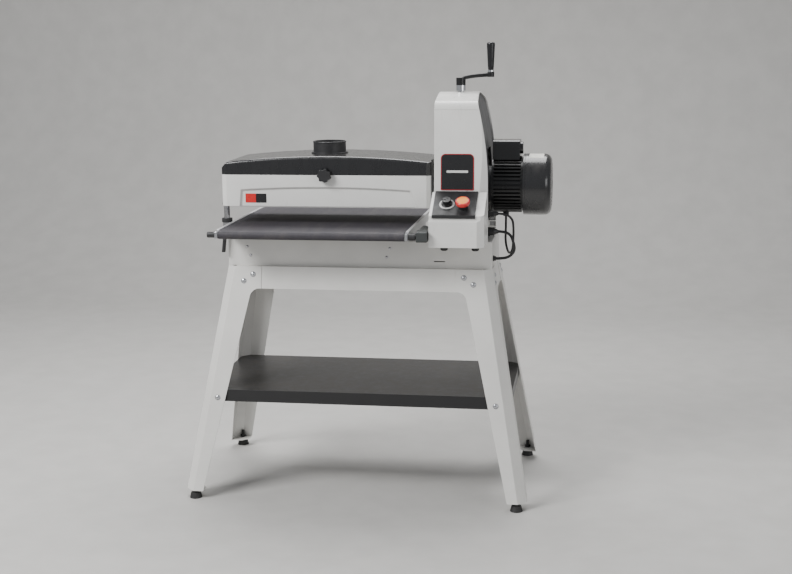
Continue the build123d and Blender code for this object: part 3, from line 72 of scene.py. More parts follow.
class ShaderGroup:
    """A shader node group with named inputs, built once and shared by every finish that asks for it."""

    def __init__(self, name: str) -> None:
        """Starts an empty group with the inputs and outputs that every surface has.

        Args:
            name: the group's name.
        """
        self.tree = bpy.data.node_groups.new(name, "ShaderNodeTree")
        for label, kind in (("Color", "Color"), ("Second Color", "Color"), ("Roughness", "Float"),
                            ("Scale", "Float"), ("Amount", "Float")):
            self.tree.interface.new_socket(label, in_out="INPUT", socket_type=f"NodeSocket{kind}")
        for label, kind in (("Color", "Color"), ("Roughness", "Float"), ("Height", "Float")):
            self.tree.interface.new_socket(label, in_out="OUTPUT", socket_type=f"NodeSocket{kind}")
        self.inputs = self.tree.nodes.new("NodeGroupInput").outputs
        self.outputs = self.tree.nodes.new("NodeGroupOutput").inputs
        self.place = self.tree.nodes.new("ShaderNodeTexCoord").outputs["Object"]

    def link(self, source: Any, target: Any) -> None:
        """Joins two sockets, or sets the target when the source is a plain value.

        Args:
            source: a socket or a value.
            target: the input to join or set.
        """
        if isinstance(source, bpy.types.NodeSocket):
            self.tree.links.new(source, target)
        else:
            target.default_value = source

    def noise(self, scale: Any, detail: float = 3.0, stretch: Point = (1, 1, 1), rough: float = 0.55) -> Any:
        """Adds a noise texture and returns its value.

        Args:
            scale: cells per metre, a number or a socket.
            detail: octaves.
            stretch: how much finer the pattern is along each axis.
            rough: how strongly the finer octaves show.

        Returns:
            The noise's factor socket.
        """
        mapping = self.tree.nodes.new("ShaderNodeMapping")
        mapping.inputs["Scale"].default_value = stretch
        self.link(self.place, mapping.inputs["Vector"])
        texture = self.tree.nodes.new("ShaderNodeTexNoise")
        self.link(mapping.outputs["Vector"], texture.inputs["Vector"])
        self.link(scale, texture.inputs["Scale"])
        texture.inputs["Detail"].default_value = detail
        texture.inputs["Roughness"].default_value = rough
        return texture.outputs["Fac"]

    def cells(self, scale: Any, feature: str = "F1") -> Any:
        """Adds a Voronoi texture.

        Args:
            scale: cells per metre, a number or a socket.
            feature: which of the texture's distances it takes.

        Returns:
            The texture's outputs: Distance, and Color, which is each cell's own random colour.
        """
        texture = self.tree.nodes.new("ShaderNodeTexVoronoi")
        texture.feature = feature
        self.link(self.place, texture.inputs["Vector"])
        self.link(scale, texture.inputs["Scale"])
        return texture.outputs

    def math(self, how: str, first: Any, second: Any = 0.0, third: Any = 0.0) -> Any:
        """Adds a Math node.

        Args:
            how: its operation.
            first: its first number or socket.
            second: its second one.
            third: its third one, where the operation has it.

        Returns:
            The node's value socket.
        """
        node = self.tree.nodes.new("ShaderNodeMath")
        node.operation = how
        for source, target in zip((first, second, third), node.inputs):
            self.link(source, target)
        return node.outputs["Value"]

    def span(self, value: Any, low: float, high: float, to_low: float = 0.0, to_high: float = 1.0) -> Any:
        """Stretches a value from one span to another, held at the ends.

        Args:
            value: the socket to stretch.
            low: the value that gives to_low.
            high: the value that gives to_high.
            to_low: the result at the low end.
            to_high: the result at the high end.

        Returns:
            The result's socket.
        """
        node = self.tree.nodes.new("ShaderNodeMapRange")
        for source, target in zip((value, low, high, to_low, to_high), node.inputs):
            self.link(source, target)
        return node.outputs["Result"]

    def mix(self, share: Any, first: Any, second: Any) -> Any:
        """Mixes two colours.

        Args:
            share: how much of the second shows.
            first: a colour or a socket.
            second: a colour or a socket.

        Returns:
            The mixed colour's socket.
        """
        node = self.tree.nodes.new("ShaderNodeMix")
        node.data_type = "RGBA"
        self.link(share, node.inputs[0])
        self.link(first, node.inputs[6])
        self.link(second, node.inputs[7])
        return node.outputs[2]

    def upward(self) -> Any:
        """Reads how far the surface faces up.

        Returns:
            A socket from -1 to 1.
        """
        geometry = self.tree.nodes.new("ShaderNodeNewGeometry")
        parts = self.tree.nodes.new("ShaderNodeSeparateXYZ")
        self.link(geometry.outputs["Normal"], parts.inputs["Vector"])
        return parts.outputs["Z"]

    def finish(self, color: Any, roughness: Any, height: Any) -> None:
        """Joins the three results to the group's outputs.

        Args:
            color: the base colour.
            roughness: the roughness.
            height: the relief's height, from nought to about one.
        """
        for source, label in ((color, "Color"), (roughness, "Roughness"), (height, "Height")):
            self.link(source, self.outputs[label])


def paint_film() -> ShaderGroup:
    """Sprayed paint: orange peel, faint cloudiness and dust that gathers where it faces up.

    Returns:
        The group.
    """
    group = ShaderGroup(Surface.PAINT.value)
    peel = group.noise(group.inputs["Scale"], 2.0)
    cloud = group.noise(9.0, 4.0)
    smear = group.noise(38.0, 5.0, (1, 1, 0.35), 0.7)
    dust = group.math("MULTIPLY", group.span(group.upward(), 0.3, 1.0), group.span(smear, 0.42, 0.8))
    dust = group.math("MULTIPLY", dust, group.inputs["Amount"])
    shaded = group.mix(group.span(cloud, 0.35, 0.65, 0.0, 0.07), group.inputs["Color"], (0.0, 0.0, 0.0, 1.0))
    color = group.mix(dust, shaded, group.inputs["Second Color"])
    rough = group.math("ADD", group.inputs["Roughness"], group.span(smear, 0.3, 0.7, -0.05, 0.08))
    rough = group.math("ADD", rough, group.math("MULTIPLY", dust, 0.5))
    group.finish(color, rough, peel)
    return group


def moulded_grain() -> ShaderGroup:
    """Moulded plastic: a fine leathery grain with paler rubbed patches.

    Returns:
        The group.
    """
    group = ShaderGroup(Surface.GRAIN.value)
    grain = group.cells(group.inputs["Scale"], "SMOOTH_F1")["Distance"]
    fine = group.noise(2600.0, 2.0)
    rub = group.noise(55.0, 5.0)
    share = group.math("MULTIPLY", group.span(rub, 0.5, 0.75), group.inputs["Amount"])
    color = group.mix(share, group.inputs["Color"], group.inputs["Second Color"])
    rough = group.math("ADD", group.inputs["Roughness"], group.span(rub, 0.3, 0.7, 0.06, -0.06))
    group.finish(color, rough, group.math("ADD", grain, group.math("MULTIPLY", fine, 0.4)))
    return group


def turning_marks() -> ShaderGroup:
    """Ground or turned metal: fine lines round the bar, with a few darker stains.

    Returns:
        The group.
    """
    group = ShaderGroup(Surface.BRUSHED.value)
    lines = group.noise(group.inputs["Scale"], 3.0, (12.0, 0.6, 0.6), 0.7)
    stain = group.noise(42.0, 6.0, rough=0.65)
    share = group.math("MULTIPLY", group.span(stain, 0.5, 0.72), group.inputs["Amount"])
    color = group.mix(share, group.inputs["Color"], group.inputs["Second Color"])
    color = group.mix(group.span(lines, 0.35, 0.7, 0.0, 0.22), color, (0.05, 0.05, 0.055, 1.0))
    rough = group.math("ADD", group.inputs["Roughness"], group.span(lines, 0.3, 0.7, -0.07, 0.1))
    group.finish(color, rough, lines)
    return group


def cast_skin() -> ShaderGroup:
    """Sand-cast metal under thin paint: a pitted skin of two sizes of bump.

    Returns:
        The group.
    """
    group = ShaderGroup(Surface.CAST.value)
    lumps = group.noise(group.inputs["Scale"], 6.0, rough=0.62)
    pits = group.span(group.cells(900.0)["Distance"], 0.0, 0.35)
    stain = group.noise(30.0, 5.0)
    share = group.math("MULTIPLY", group.span(stain, 0.45, 0.75), group.inputs["Amount"])
    color = group.mix(share, group.inputs["Color"], group.inputs["Second Color"])
    rough = group.math("ADD", group.inputs["Roughness"], group.span(lumps, 0.3, 0.7, -0.06, 0.06))
    group.finish(color, rough, group.math("ADD", lumps, group.math("MULTIPLY", pits, 0.3)))
    return group


def abrasive_grit() -> ShaderGroup:
    """Coated abrasive: packed grains of mixed shade, with paler streaks of dust along the feed.

    Returns:
        The group.
    """
    group = ShaderGroup(Surface.GRIT.value)
    grains = group.cells(group.inputs["Scale"])
    parts = group.tree.nodes.new("ShaderNodeSeparateColor")
    group.link(grains["Color"], parts.inputs["Color"])
    streak = group.noise(26.0, 5.0, (1.6, 0.18, 1.0), 0.65)
    color = group.mix(group.span(parts.outputs["Red"], 0.45, 1.0, 0.0, 0.75), group.inputs["Color"],
                      group.inputs["Second Color"])
    dust = group.math("MULTIPLY", group.span(streak, 0.48, 0.8), group.inputs["Amount"])
    color = group.mix(dust, color, (0.42, 0.36, 0.30, 1.0))
    shine = group.span(parts.outputs["Green"], 0.0, 1.0, -0.18, 0.1)
    rough = group.math("ADD", group.inputs["Roughness"], shine)
    group.finish(color, rough, group.math("SUBTRACT", 1.0, grains["Distance"]))
    return group


def rubber_skin() -> ShaderGroup:
    """Rubber: a dull bloom in patches over a fine matt texture.

    Returns:
        The group.
    """
    group = ShaderGroup(Surface.RUBBER.value)
    fine = group.noise(group.inputs["Scale"], 3.0)
    bloom = group.noise(70.0, 5.0)
    share = group.math("MULTIPLY", group.span(bloom, 0.42, 0.75), group.inputs["Amount"])
    color = group.mix(share, group.inputs["Color"], group.inputs["Second Color"])
    rough = group.math("ADD", group.inputs["Roughness"], group.span(bloom, 0.3, 0.7, -0.05, 0.07))
    group.finish(color, rough, fine)
    return group


GROUP_BUILDERS = {Surface.PAINT: paint_film, Surface.GRAIN: moulded_grain, Surface.BRUSHED: turning_marks,
                  Surface.CAST: cast_skin, Surface.GRIT: abrasive_grit, Surface.RUBBER: rubber_skin}
GROUPS: dict[Surface, ShaderGroup] = {}
COAT_ROUGHNESS = 0.12


@dataclass(frozen=True)
class Finish:
    """One finish of the machine.

    Attributes:
        name: the material's name.
        surface: the shader group it is made with.
        color: its main colour.
        second: the colour of its dust, wear or stains.
        roughness: how dull it is, from 0 to 1.
        scale: how fine its relief is, in cells per metre.
        depth: how deep its relief is, in metres.
        amount: how much of the second colour shows.
        metallic: 1 for bare metal.
        coat: the weight of its clear coat.
        slot: the record's material slot, or nothing; not used.
    """

    name: str
    surface: Surface
    color: tuple[float, float, float]
    second: tuple[float, float, float]
    roughness: float
    scale: float
    depth: float
    amount: float = 0.3
    metallic: float = 0.0
    coat: float = 0.0
    slot: str = ""

    def material(self) -> bpy.types.Material:
        """Makes the finish's material the first time it is asked for.

        Returns:
            The material.
        """
        made = bpy.data.materials.get(self.name)
        if made is not None:
            return made
        if self.surface not in GROUPS:
            GROUPS[self.surface] = GROUP_BUILDERS[self.surface]()
        made = bpy.data.materials.new(self.name)
        made.use_nodes = True
        nodes = made.node_tree.nodes
        links = made.node_tree.links
        shader = nodes["Principled BSDF"]
        group = nodes.new("ShaderNodeGroup")
        group.node_tree = GROUPS[self.surface].tree
        for label, value in (("Color", (*self.color, 1.0)), ("Second Color", (*self.second, 1.0)),
                             ("Roughness", self.roughness), ("Scale", self.scale), ("Amount", self.amount)):
            group.inputs[label].default_value = value
        bump = nodes.new("ShaderNodeBump")
        bump.inputs["Strength"].default_value = 1.0
        bump.inputs["Distance"].default_value = self.depth
        links.new(group.outputs["Height"], bump.inputs["Height"])
        links.new(group.outputs["Color"], shader.inputs["Base Color"])
        links.new(group.outputs["Roughness"], shader.inputs["Roughness"])
        links.new(bump.outputs["Normal"], shader.inputs["Normal"])
        shader.inputs["Metallic"].default_value = self.metallic
        shader.inputs["Coat Weight"].default_value = self.coat
        shader.inputs["Coat Roughness"].default_value = COAT_ROUGHNESS
        return made


DUST = (0.62, 0.55, 0.46)
STAND_WHITE = Finish("stand_white_powder_coat", Surface.PAINT, (0.71, 0.70, 0.67), DUST, 0.42, 620.0,
                     30e-6, 0.25, slot="stand_paint")
HEAD_WHITE = Finish("head_white_enamel", Surface.PAINT, (0.74, 0.735, 0.71), DUST, 0.30, 420.0,
                    26e-6, 0.25, coat=0.25, slot="head_paint")
SHELF_BLACK = Finish("shelf_black_powder_coat", Surface.PAINT, (0.012, 0.012, 0.013), DUST, 0.34, 700.0,
                     32e-6, 0.10, slot="shelf_paint")
LID_BLACK = Finish("lid_satin_black", Surface.PAINT, (0.011, 0.011, 0.012), DUST, 0.27, 500.0,
                   5e-6, 0.05, coat=0.5, slot="dark_paint")
MOTOR_BLACK = Finish("motor_black_enamel", Surface.PAINT, (0.007, 0.007, 0.0075), DUST, 0.30, 520.0,
                     24e-6, 0.04, slot="dark_paint")
PANEL_GREY = Finish("column_grey_side", Surface.PAINT, (0.085, 0.085, 0.088), DUST, 0.50, 600.0,
                    30e-6, 0.15, slot="panel_paint")
ZINC = Finish("zinc_plate", Surface.BRUSHED, (0.62, 0.63, 0.65), (0.40, 0.38, 0.36), 0.26, 900.0,
              6e-6, 0.30, 1.0, slot="zinc")
STEEL = Finish("ground_steel", Surface.BRUSHED, (0.56, 0.56, 0.57), (0.30, 0.26, 0.22), 0.24, 1400.0,
               5e-6, 0.25, 1.0, slot="bright_steel")
CHROME = Finish("bright_chrome", Surface.BRUSHED, (0.80, 0.81, 0.82), (0.5, 0.5, 0.5), 0.10, 1200.0,
                2e-6, 0.15, 1.0, slot="chrome")
ALUMINIUM = Finish("drum_aluminium", Surface.BRUSHED, (0.66, 0.67, 0.69), (0.40, 0.40, 0.41), 0.30,
                   1100.0, 6e-6, 0.3, 1.0, slot="drum_aluminium")
RAIL = Finish("bed_rail_plate", Surface.BRUSHED, (0.72, 0.72, 0.73), (0.45, 0.44, 0.43), 0.38, 800.0,
              5e-6, 0.25, 0.55, slot="bed_steel")
GEAR_GREY = Finish("gearcase_grey", Surface.CAST, (0.055, 0.060, 0.060), (0.10, 0.10, 0.09), 0.42, 260.0,
                   40e-6, 0.25, 0.35, slot="dark_paint")
CASTING = Finish("carriage_casting", Surface.CAST, (0.10, 0.10, 0.105), (0.16, 0.15, 0.14), 0.55, 160.0,
                 160e-6, 0.4, slot="cast_iron")
BRONZE = Finish("nut_bronze", Surface.BRUSHED, (0.62, 0.42, 0.18), (0.30, 0.18, 0.08), 0.34, 900.0,
                6e-6, 0.4, 1.0, slot="bronze")
PLASTIC_BLACK = Finish("black_moulding", Surface.GRAIN, (0.016, 0.016, 0.017), (0.05, 0.05, 0.052), 0.44,
                       1500.0, 30e-6, 0.4, slot="black_plastic")
GLOSS_BLACK = Finish("black_gloss_moulding", Surface.GRAIN, (0.010, 0.010, 0.011), (0.03, 0.03, 0.032),
                     0.20, 500.0, 6e-6, 0.3, coat=0.3, slot="gloss_black_plastic")
STOP_RED = Finish("stop_red", Surface.GRAIN, (0.62, 0.018, 0.014), (0.50, 0.05, 0.04), 0.24, 600.0,
                  6e-6, 0.3, coat=0.3, slot="red_plastic")
STOP_YELLOW = Finish("stop_yellow", Surface.GRAIN, (0.95, 0.30, 0.0), (0.90, 0.38, 0.02), 0.34, 600.0,
                     6e-6, 0.3)
BELT = Finish("feed_belt_abrasive", Surface.GRIT, (0.026, 0.024, 0.030), (0.075, 0.068, 0.080), 0.66, 1500.0,
              110e-6, 0.07, slot="belt_abrasive")
WRAP = Finish("drum_abrasive", Surface.GRIT, (0.20, 0.075, 0.035), (0.42, 0.20, 0.11), 0.72, 1200.0,
              160e-6, 0.45, slot="wrap_abrasive")
RUBBER = Finish("foot_rubber", Surface.RUBBER, (0.014, 0.014, 0.014), (0.05, 0.048, 0.045), 0.62, 1800.0,
                40e-6, 0.5, slot="rubber")
ROLLER = Finish("roller_rubber", Surface.RUBBER, (0.035, 0.035, 0.038), (0.10, 0.095, 0.09), 0.55, 1600.0,
                30e-6, 0.4, slot="roller_rubber")
JACKET = Finish("lead_jacket", Surface.RUBBER, (0.010, 0.010, 0.011), (0.04, 0.04, 0.04), 0.38, 2200.0,
                12e-6, 0.4, slot="cord")
EMBLEM_DARK = Finish("emblem_dark", Surface.GRAIN, (0.012, 0.012, 0.013), (0.03, 0.03, 0.03), 0.30, 900.0,
                     5e-6, 0.2, coat=0.2)
EMBLEM_RED = Finish("emblem_red", Surface.GRAIN, (0.34, 0.012, 0.016), (0.40, 0.04, 0.04), 0.30, 900.0,
                    5e-6, 0.2, coat=0.2)
BADGE_RED = Finish("badge_red", Surface.GRAIN, (0.60, 0.02, 0.018), (0.5, 0.05, 0.05), 0.30, 900.0,
                   5e-6, 0.2, coat=0.2)
SILVER = Finish("silver_print", Surface.GRAIN, (0.62, 0.62, 0.61), (0.5, 0.5, 0.5), 0.34, 900.0, 5e-6, 0.3)
LABEL = Finish("plain_label", Surface.RUBBER, (0.70, 0.69, 0.64), (0.60, 0.58, 0.50), 0.50, 1200.0,
               8e-6, 0.5)
FLOOR = Finish("studio_floor", Surface.PAINT, (0.52, 0.51, 0.49), (0.58, 0.56, 0.53), 0.62, 140.0,
               90e-6, 0.25)


# ---------------------------------------------------------------------------------- mesh tools
SHARP = 32.0              # edges that turn more than this many degrees stay sharp in the shading


def place_piece(piece: bpy.types.Object, body: str, finish: Finish, *stands_for: str) -> bpy.types.Object:
    """Rides a finished piece on its body and hides the CAD nodes that it stands for.

    Args:
        piece: the finished object, with its place in its mesh.
        body: the CAD body it moves with.
        finish: not used.
        stands_for: CAD nodes that the piece replaces.

    Returns:
        The same object.
    """
    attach(piece, body)
    if stands_for:
        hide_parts(*stands_for)
    LOG.info("%s rides on %s", piece.name, body)
    return piece


def to_object(name: str, shape: bmesh.types.BMesh, *finishes: Finish,
              sharp: float = SHARP) -> bpy.types.Object:
    """Turns a bmesh into an object with its finishes, smooth except along its sharp edges.

    Args:
        name: the piece's name.
        shape: the mesh, which is freed.
        finishes: one for each material index.
        sharp: the angle in degrees over which an edge stays sharp.

    Returns:
        The new object, at the origin.
    """
    mesh = bpy.data.meshes.new(name)
    shape.to_mesh(mesh)
    shape.free()
    for finish in finishes:
        mesh.materials.append(finish.material())
    mesh.polygons.foreach_set("use_smooth", [True] * len(mesh.polygons))
    mesh.set_sharp_from_angle(angle=radians(sharp))
    piece = bpy.data.objects.new(name, mesh)
    bpy.context.scene.collection.objects.link(piece)
    return piece


def baked(piece: bpy.types.Object) -> bpy.types.Object:
    """Applies a piece's modifiers to its mesh and removes them.

    Args:
        piece: the object.

    Returns:
        The same object.
    """
    graph = bpy.context.evaluated_depsgraph_get()
    mesh = bpy.data.meshes.new_from_object(piece.evaluated_get(graph), depsgraph=graph)
    piece.modifiers.clear()
    piece.data = mesh
    return piece


def rounded(piece: bpy.types.Object, width: float, steps: int = 2) -> bpy.types.Object:
    """Rounds the edges marked with a bevel weight and evens the shading of the flats beside them.

    Args:
        piece: the object, whose edges carry the weights.
        width: the rounding for a weight of one.
        steps: how many facets cross an edge.

    Returns:
        The same object, with the rounding in its mesh.
    """
    bevel = piece.modifiers.new("round", "BEVEL")
    bevel.limit_method = "WEIGHT"
    bevel.width = width
    bevel.segments = steps
    bevel.use_clamp_overlap = False
    bevel.miter_outer = "MITER_ARC"
    evened = piece.modifiers.new("even", "WEIGHTED_NORMAL")
    evened.keep_sharp = True
    return baked(piece)


def weigh_edges(shape: bmesh.types.BMesh, fold_share: float = 1.0, least: float = 28.0) -> None:
    """Gives each edge over an angle a bevel weight.

    Args:
        shape: the mesh.
        fold_share: the weight of edges that turn less than 60 degrees; the others have one.
        least: the angle in degrees under which an edge has none.
    """
    layer = shape.edges.layers.float.new("bevel_weight_edge")
    for edge in shape.edges:
        if len(edge.link_faces) == 2:
            angle = degrees(edge.calc_face_angle(0.0))
            if angle > least:
                edge[layer] = fold_share if angle < 60.0 else 1.0


def node_shape(node: str) -> bmesh.types.BMesh:
    """Copies a CAD node's mesh, with its flat faces made whole.

    Args:
        node: the CAD node.

    Returns:
        The copy.
    """
    shape = bmesh.new()
    shape.from_mesh(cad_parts[node].data)
    bmesh.ops.remove_doubles(shape, verts=shape.verts, dist=1e-6)
    bmesh.ops.dissolve_limit(shape, angle_limit=radians(0.5), verts=shape.verts, edges=shape.edges)
    return shape


def finished_node(node: str, body: str, finish: Finish, width: float = 0.0006, fold_share: float = 1.0,
                  steps: int = 2) -> bpy.types.Object:
    """Makes the finished piece of a CAD node: its triangles merged, its edges rounded, its finish on.

    Args:
        node: the CAD node that the piece stands for.
        body: the body it rides on.
        finish: its finish.
        width: how far the edges are rounded.
        fold_share: the share of that for edges that turn less than 60 degrees.
        steps: how many facets cross an edge.

    Returns:
        The finished piece.
    """
    shape = node_shape(node)
    weigh_edges(shape, fold_share)
    piece = rounded(to_object(f"{node}_finished", shape, finish), width, steps)
    return place_piece(piece, body, finish, node)


def spun(name: str, profile: Sequence[Point], centre: Vector, axis: Vector, *finishes: Finish,
         steps: int = 64) -> bpy.types.Object:
    """Turns a profile round an axis.

    Args:
        name: the piece's name.
        profile: (radius, distance along the axis) pairs, in order from the inside to the outside.
        centre: the point where the distance is nought.
        axis: the axis, a unit vector.
        finishes: the finishes of the piece.
        steps: facets round the axis.

    Returns:
        The new object.
    """
    side = axis.orthogonal().normalized()
    across = axis.cross(side)
    shape = bmesh.new()
    rings = []
    for radius, along in profile:
        if radius < 1e-7:
            rings.append([shape.verts.new(centre + axis * along)])
            continue
        turns = [2 * pi * step / steps for step in range(steps)]
        middle = centre + axis * along
        rings.append([shape.verts.new(middle + (side * cos(turn) + across * sin(turn)) * radius)
                      for turn in turns])
    for near, far in zip(rings, rings[1:]):
        for step in range(steps):
            after = (step + 1) % steps
            corners = [near[step % len(near)], near[after % len(near)],
                       far[after % len(far)], far[step % len(far)]]
            unique = list(dict.fromkeys(corners))
            if len(unique) > 2:
                shape.faces.new(unique)
    bmesh.ops.recalc_face_normals(shape, faces=shape.faces)
    return to_object(name, shape, *finishes)


def arc(centre: Point, radius: float, start: float, end: float, steps: int = 6) -> list[tuple[float, float]]:
    """Works out points along a round corner.

    Args:
        centre: the corner's centre.
        radius: its radius.
        start: the first point's angle in degrees.
        end: the last point's.
        steps: how many lines join them.

    Returns:
        The points.
    """
    turns = [radians(start + (end - start) * step / steps) for step in range(steps + 1)]
    return [(centre[0] + radius * cos(turn), centre[1] + radius * sin(turn)) for turn in turns]


def plate(name: str, outline: Sequence[Point], thickness: float, place: Matrix, *finishes: Finish,
          border: float = 0.0, round_edge: float = 0.0002) -> bpy.types.Object:
    """A flat plate from an outline, with an optional raised border in the second finish.

    Args:
        name: the piece's name.
        outline: points on the plate's own plane, anticlockwise.
        thickness: how far it stands out along its own Z.
        place: from the plate's plane to the frame.
        finishes: the face's finish, and the border's if there is one.
        border: the border's width, or nought.
        round_edge: how far the edges are rounded.

    Returns:
        The new object.
    """
    shape = bmesh.new()
    face = shape.faces.new([shape.verts.new((x, y, 0.0)) for x, y in outline])
    walls = bmesh.ops.extrude_face_region(shape, geom=[face])
    raised = [item for item in walls["geom"] if isinstance(item, bmesh.types.BMVert)]
    bmesh.ops.translate(shape, verts=raised, vec=(0, 0, thickness))
    bmesh.ops.recalc_face_normals(shape, faces=shape.faces)
    if border:
        for item in shape.faces:
            item.material_index = 1
        top = max(shape.faces, key=lambda item: item.calc_center_median().z)
        bmesh.ops.inset_region(shape, faces=[top], thickness=border, use_even_offset=True)
        sunk = bmesh.ops.inset_region(shape, faces=[top], thickness=border * 0.08, depth=-thickness * 0.35,
                                      use_even_offset=True)
        top.material_index = 0
        for item in sunk["faces"]:
            item.material_index = 1
    bmesh.ops.transform(shape, matrix=place, verts=shape.verts)
    weigh_edges(shape, 1.0, 40.0)
    return rounded(to_object(name, shape, *finishes), round_edge, 2)


def rounded_corners(width: float, height: float, low: float, high: float) -> list[tuple[float, float]]:
    """Works out a rectangle's outline, standing on the origin.

    Args:
        width: its width.
        height: its height.
        low: the radius of its lower corners.
        high: the radius of its upper corners.

    Returns:
        The outline's points, anticlockwise.
    """
    x, y = width / 2, height
    points: list[tuple[float, float]] = []
    corners = ((x, 0.0, low, -90), (x, y, high, 0), (-x, y, high, 90), (-x, 0.0, low, 180))
    for corner_x, corner_y, radius, start in corners:
        inward_x = -1 if corner_x > 0 else 1
        inward_y = 1 if corner_y == 0 else -1
        points += arc((corner_x + radius * inward_x, corner_y + radius * inward_y), radius, start, start + 90)
    return points


# ---------------------------------------------------------------------------------- geometry trees
class Tree:
    """A geometry node tree with named number inputs, ending in Realize Instances and Set Material."""

    def __init__(self, name: str, finish: Finish) -> None:
        """Starts a tree.

        Args:
            name: the tree's name.
            finish: the finish that its result takes.
        """
        self.tree = bpy.data.node_groups.new(name, "GeometryNodeTree")
        self.tree.interface.new_socket("Geometry", in_out="INPUT", socket_type="NodeSocketGeometry")
        self.tree.interface.new_socket("Geometry", in_out="OUTPUT", socket_type="NodeSocketGeometry")
        self.source = self.tree.nodes.new("NodeGroupInput")
        self.finish = finish
        self.sockets: dict[str, str] = {}
        self.values: dict[str, float] = {}

    def number(self, label: str, value: float) -> Any:
        """Adds a named number input.

        Args:
            label: its name.
            value: its value on the piece.

        Returns:
            Its socket.
        """
        whole = isinstance(value, int)
        made = self.tree.interface.new_socket(label, in_out="INPUT",
                                              socket_type="NodeSocketInt" if whole else "NodeSocketFloat")
        self.sockets[label] = made.identifier
        self.values[label] = value
        return next(socket for socket in self.source.outputs if socket.identifier == made.identifier)

    def node(self, kind: str, settings: dict[str, Any] | None = None, **inputs: Any) -> Any:
        """Adds a node.

        Args:
            kind: its type.
            settings: its options.
            inputs: a value, a socket or a list of sockets for each input, with underscores for spaces.

        Returns:
            The node.
        """
        made = self.tree.nodes.new(kind)
        for option, value in (settings or {}).items():
            setattr(made, option, value)
        for label, value in inputs.items():
            target = made.inputs[label.replace("_", " ")]
            for source in value if isinstance(value, list) else [value]:
                if isinstance(source, bpy.types.NodeSocket):
                    self.tree.links.new(source, target)
                else:
                    target.default_value = source
        return made

    def joined(self, *parts: Any) -> Any:
        """Joins several geometries into one."""
        return self.node("GeometryNodeJoinGeometry", Geometry=list(parts)).outputs["Geometry"]

    def moved(self, part: Any, move: Any = (0, 0, 0), scale: Any = (1, 1, 1)) -> Any:
        """Moves and scales a geometry."""
        made = self.node("GeometryNodeTransform", Geometry=part, Translation=move, Scale=scale)
        return made.outputs["Geometry"]

    def vector(self, x: Any = 0.0, y: Any = 0.0, z: Any = 0.0) -> Any:
        """A vector from three numbers or sockets."""
        return self.node("ShaderNodeCombineXYZ", X=x, Y=y, Z=z).outputs["Vector"]

    def arithmetic(self, how: str, first: Any, second: Any) -> Any:
        """Adds a step of arithmetic between two numbers or sockets.

        Args:
            how: the operation.
            first: the first number or socket.
            second: the second one.

        Returns:
            The result's socket.
        """
        made = self.tree.nodes.new("ShaderNodeMath")
        made.operation = how
        for source, target in zip((first, second), made.inputs):
            if isinstance(source, bpy.types.NodeSocket):
                self.tree.links.new(source, target)
            else:
                target.default_value = source
        return made.outputs["Value"]

    def end(self, result: Any) -> None:
        """Realizes the result, sets its material and joins it to the output.

        Args:
            result: the geometry.
        """
        real = self.node("GeometryNodeRealizeInstances", Geometry=result).outputs["Geometry"]
        dressed = self.node("GeometryNodeSetMaterial", Geometry=real, Material=self.finish.material())
        out = self.tree.nodes.new("NodeGroupOutput")
        self.tree.links.new(dressed.outputs["Geometry"], out.inputs["Geometry"])

    def built(self, name: str, base: bpy.types.Mesh, place: Matrix = Matrix.Identity(4)) -> bpy.types.Object:
        """Runs the tree on a base mesh and returns the result as a plain mesh object.

        Args:
            name: the new piece's name.
            base: the mesh whose points or faces the tree starts from.
            place: from the tree's own space to the frame.

        Returns:
            The new object, at the origin.
        """
        piece = bpy.data.objects.new(name, base)
        bpy.context.scene.collection.objects.link(piece)
        modifier = piece.modifiers.new("grown", "NODES")
        modifier.node_group = self.tree
        for label, identifier in self.sockets.items():
            modifier[identifier] = self.values[label]
        baked(piece)
        piece.data.transform(place)
        piece.data.polygons.foreach_set("use_smooth", [True] * len(piece.data.polygons))
        piece.data.set_sharp_from_angle(angle=radians(SHARP))
        return piece


def marked_points(name: str, places: Sequence[tuple[Point, Point]]) -> bpy.types.Mesh:
    """Makes a mesh of loose points, each with its direction in the attribute `out`.

    Args:
        name: the mesh's name.
        places: each point with its direction.

    Returns:
        The mesh.
    """
    mesh = bpy.data.meshes.new(name)
    mesh.from_pydata([tuple(place) for place, _ in places], [], [])
    directions = mesh.attributes.new("out", "FLOAT_VECTOR", "POINT")
    directions.data.foreach_set("vector", [part for _, out in places for part in Vector(out).normalized()])
    return mesh


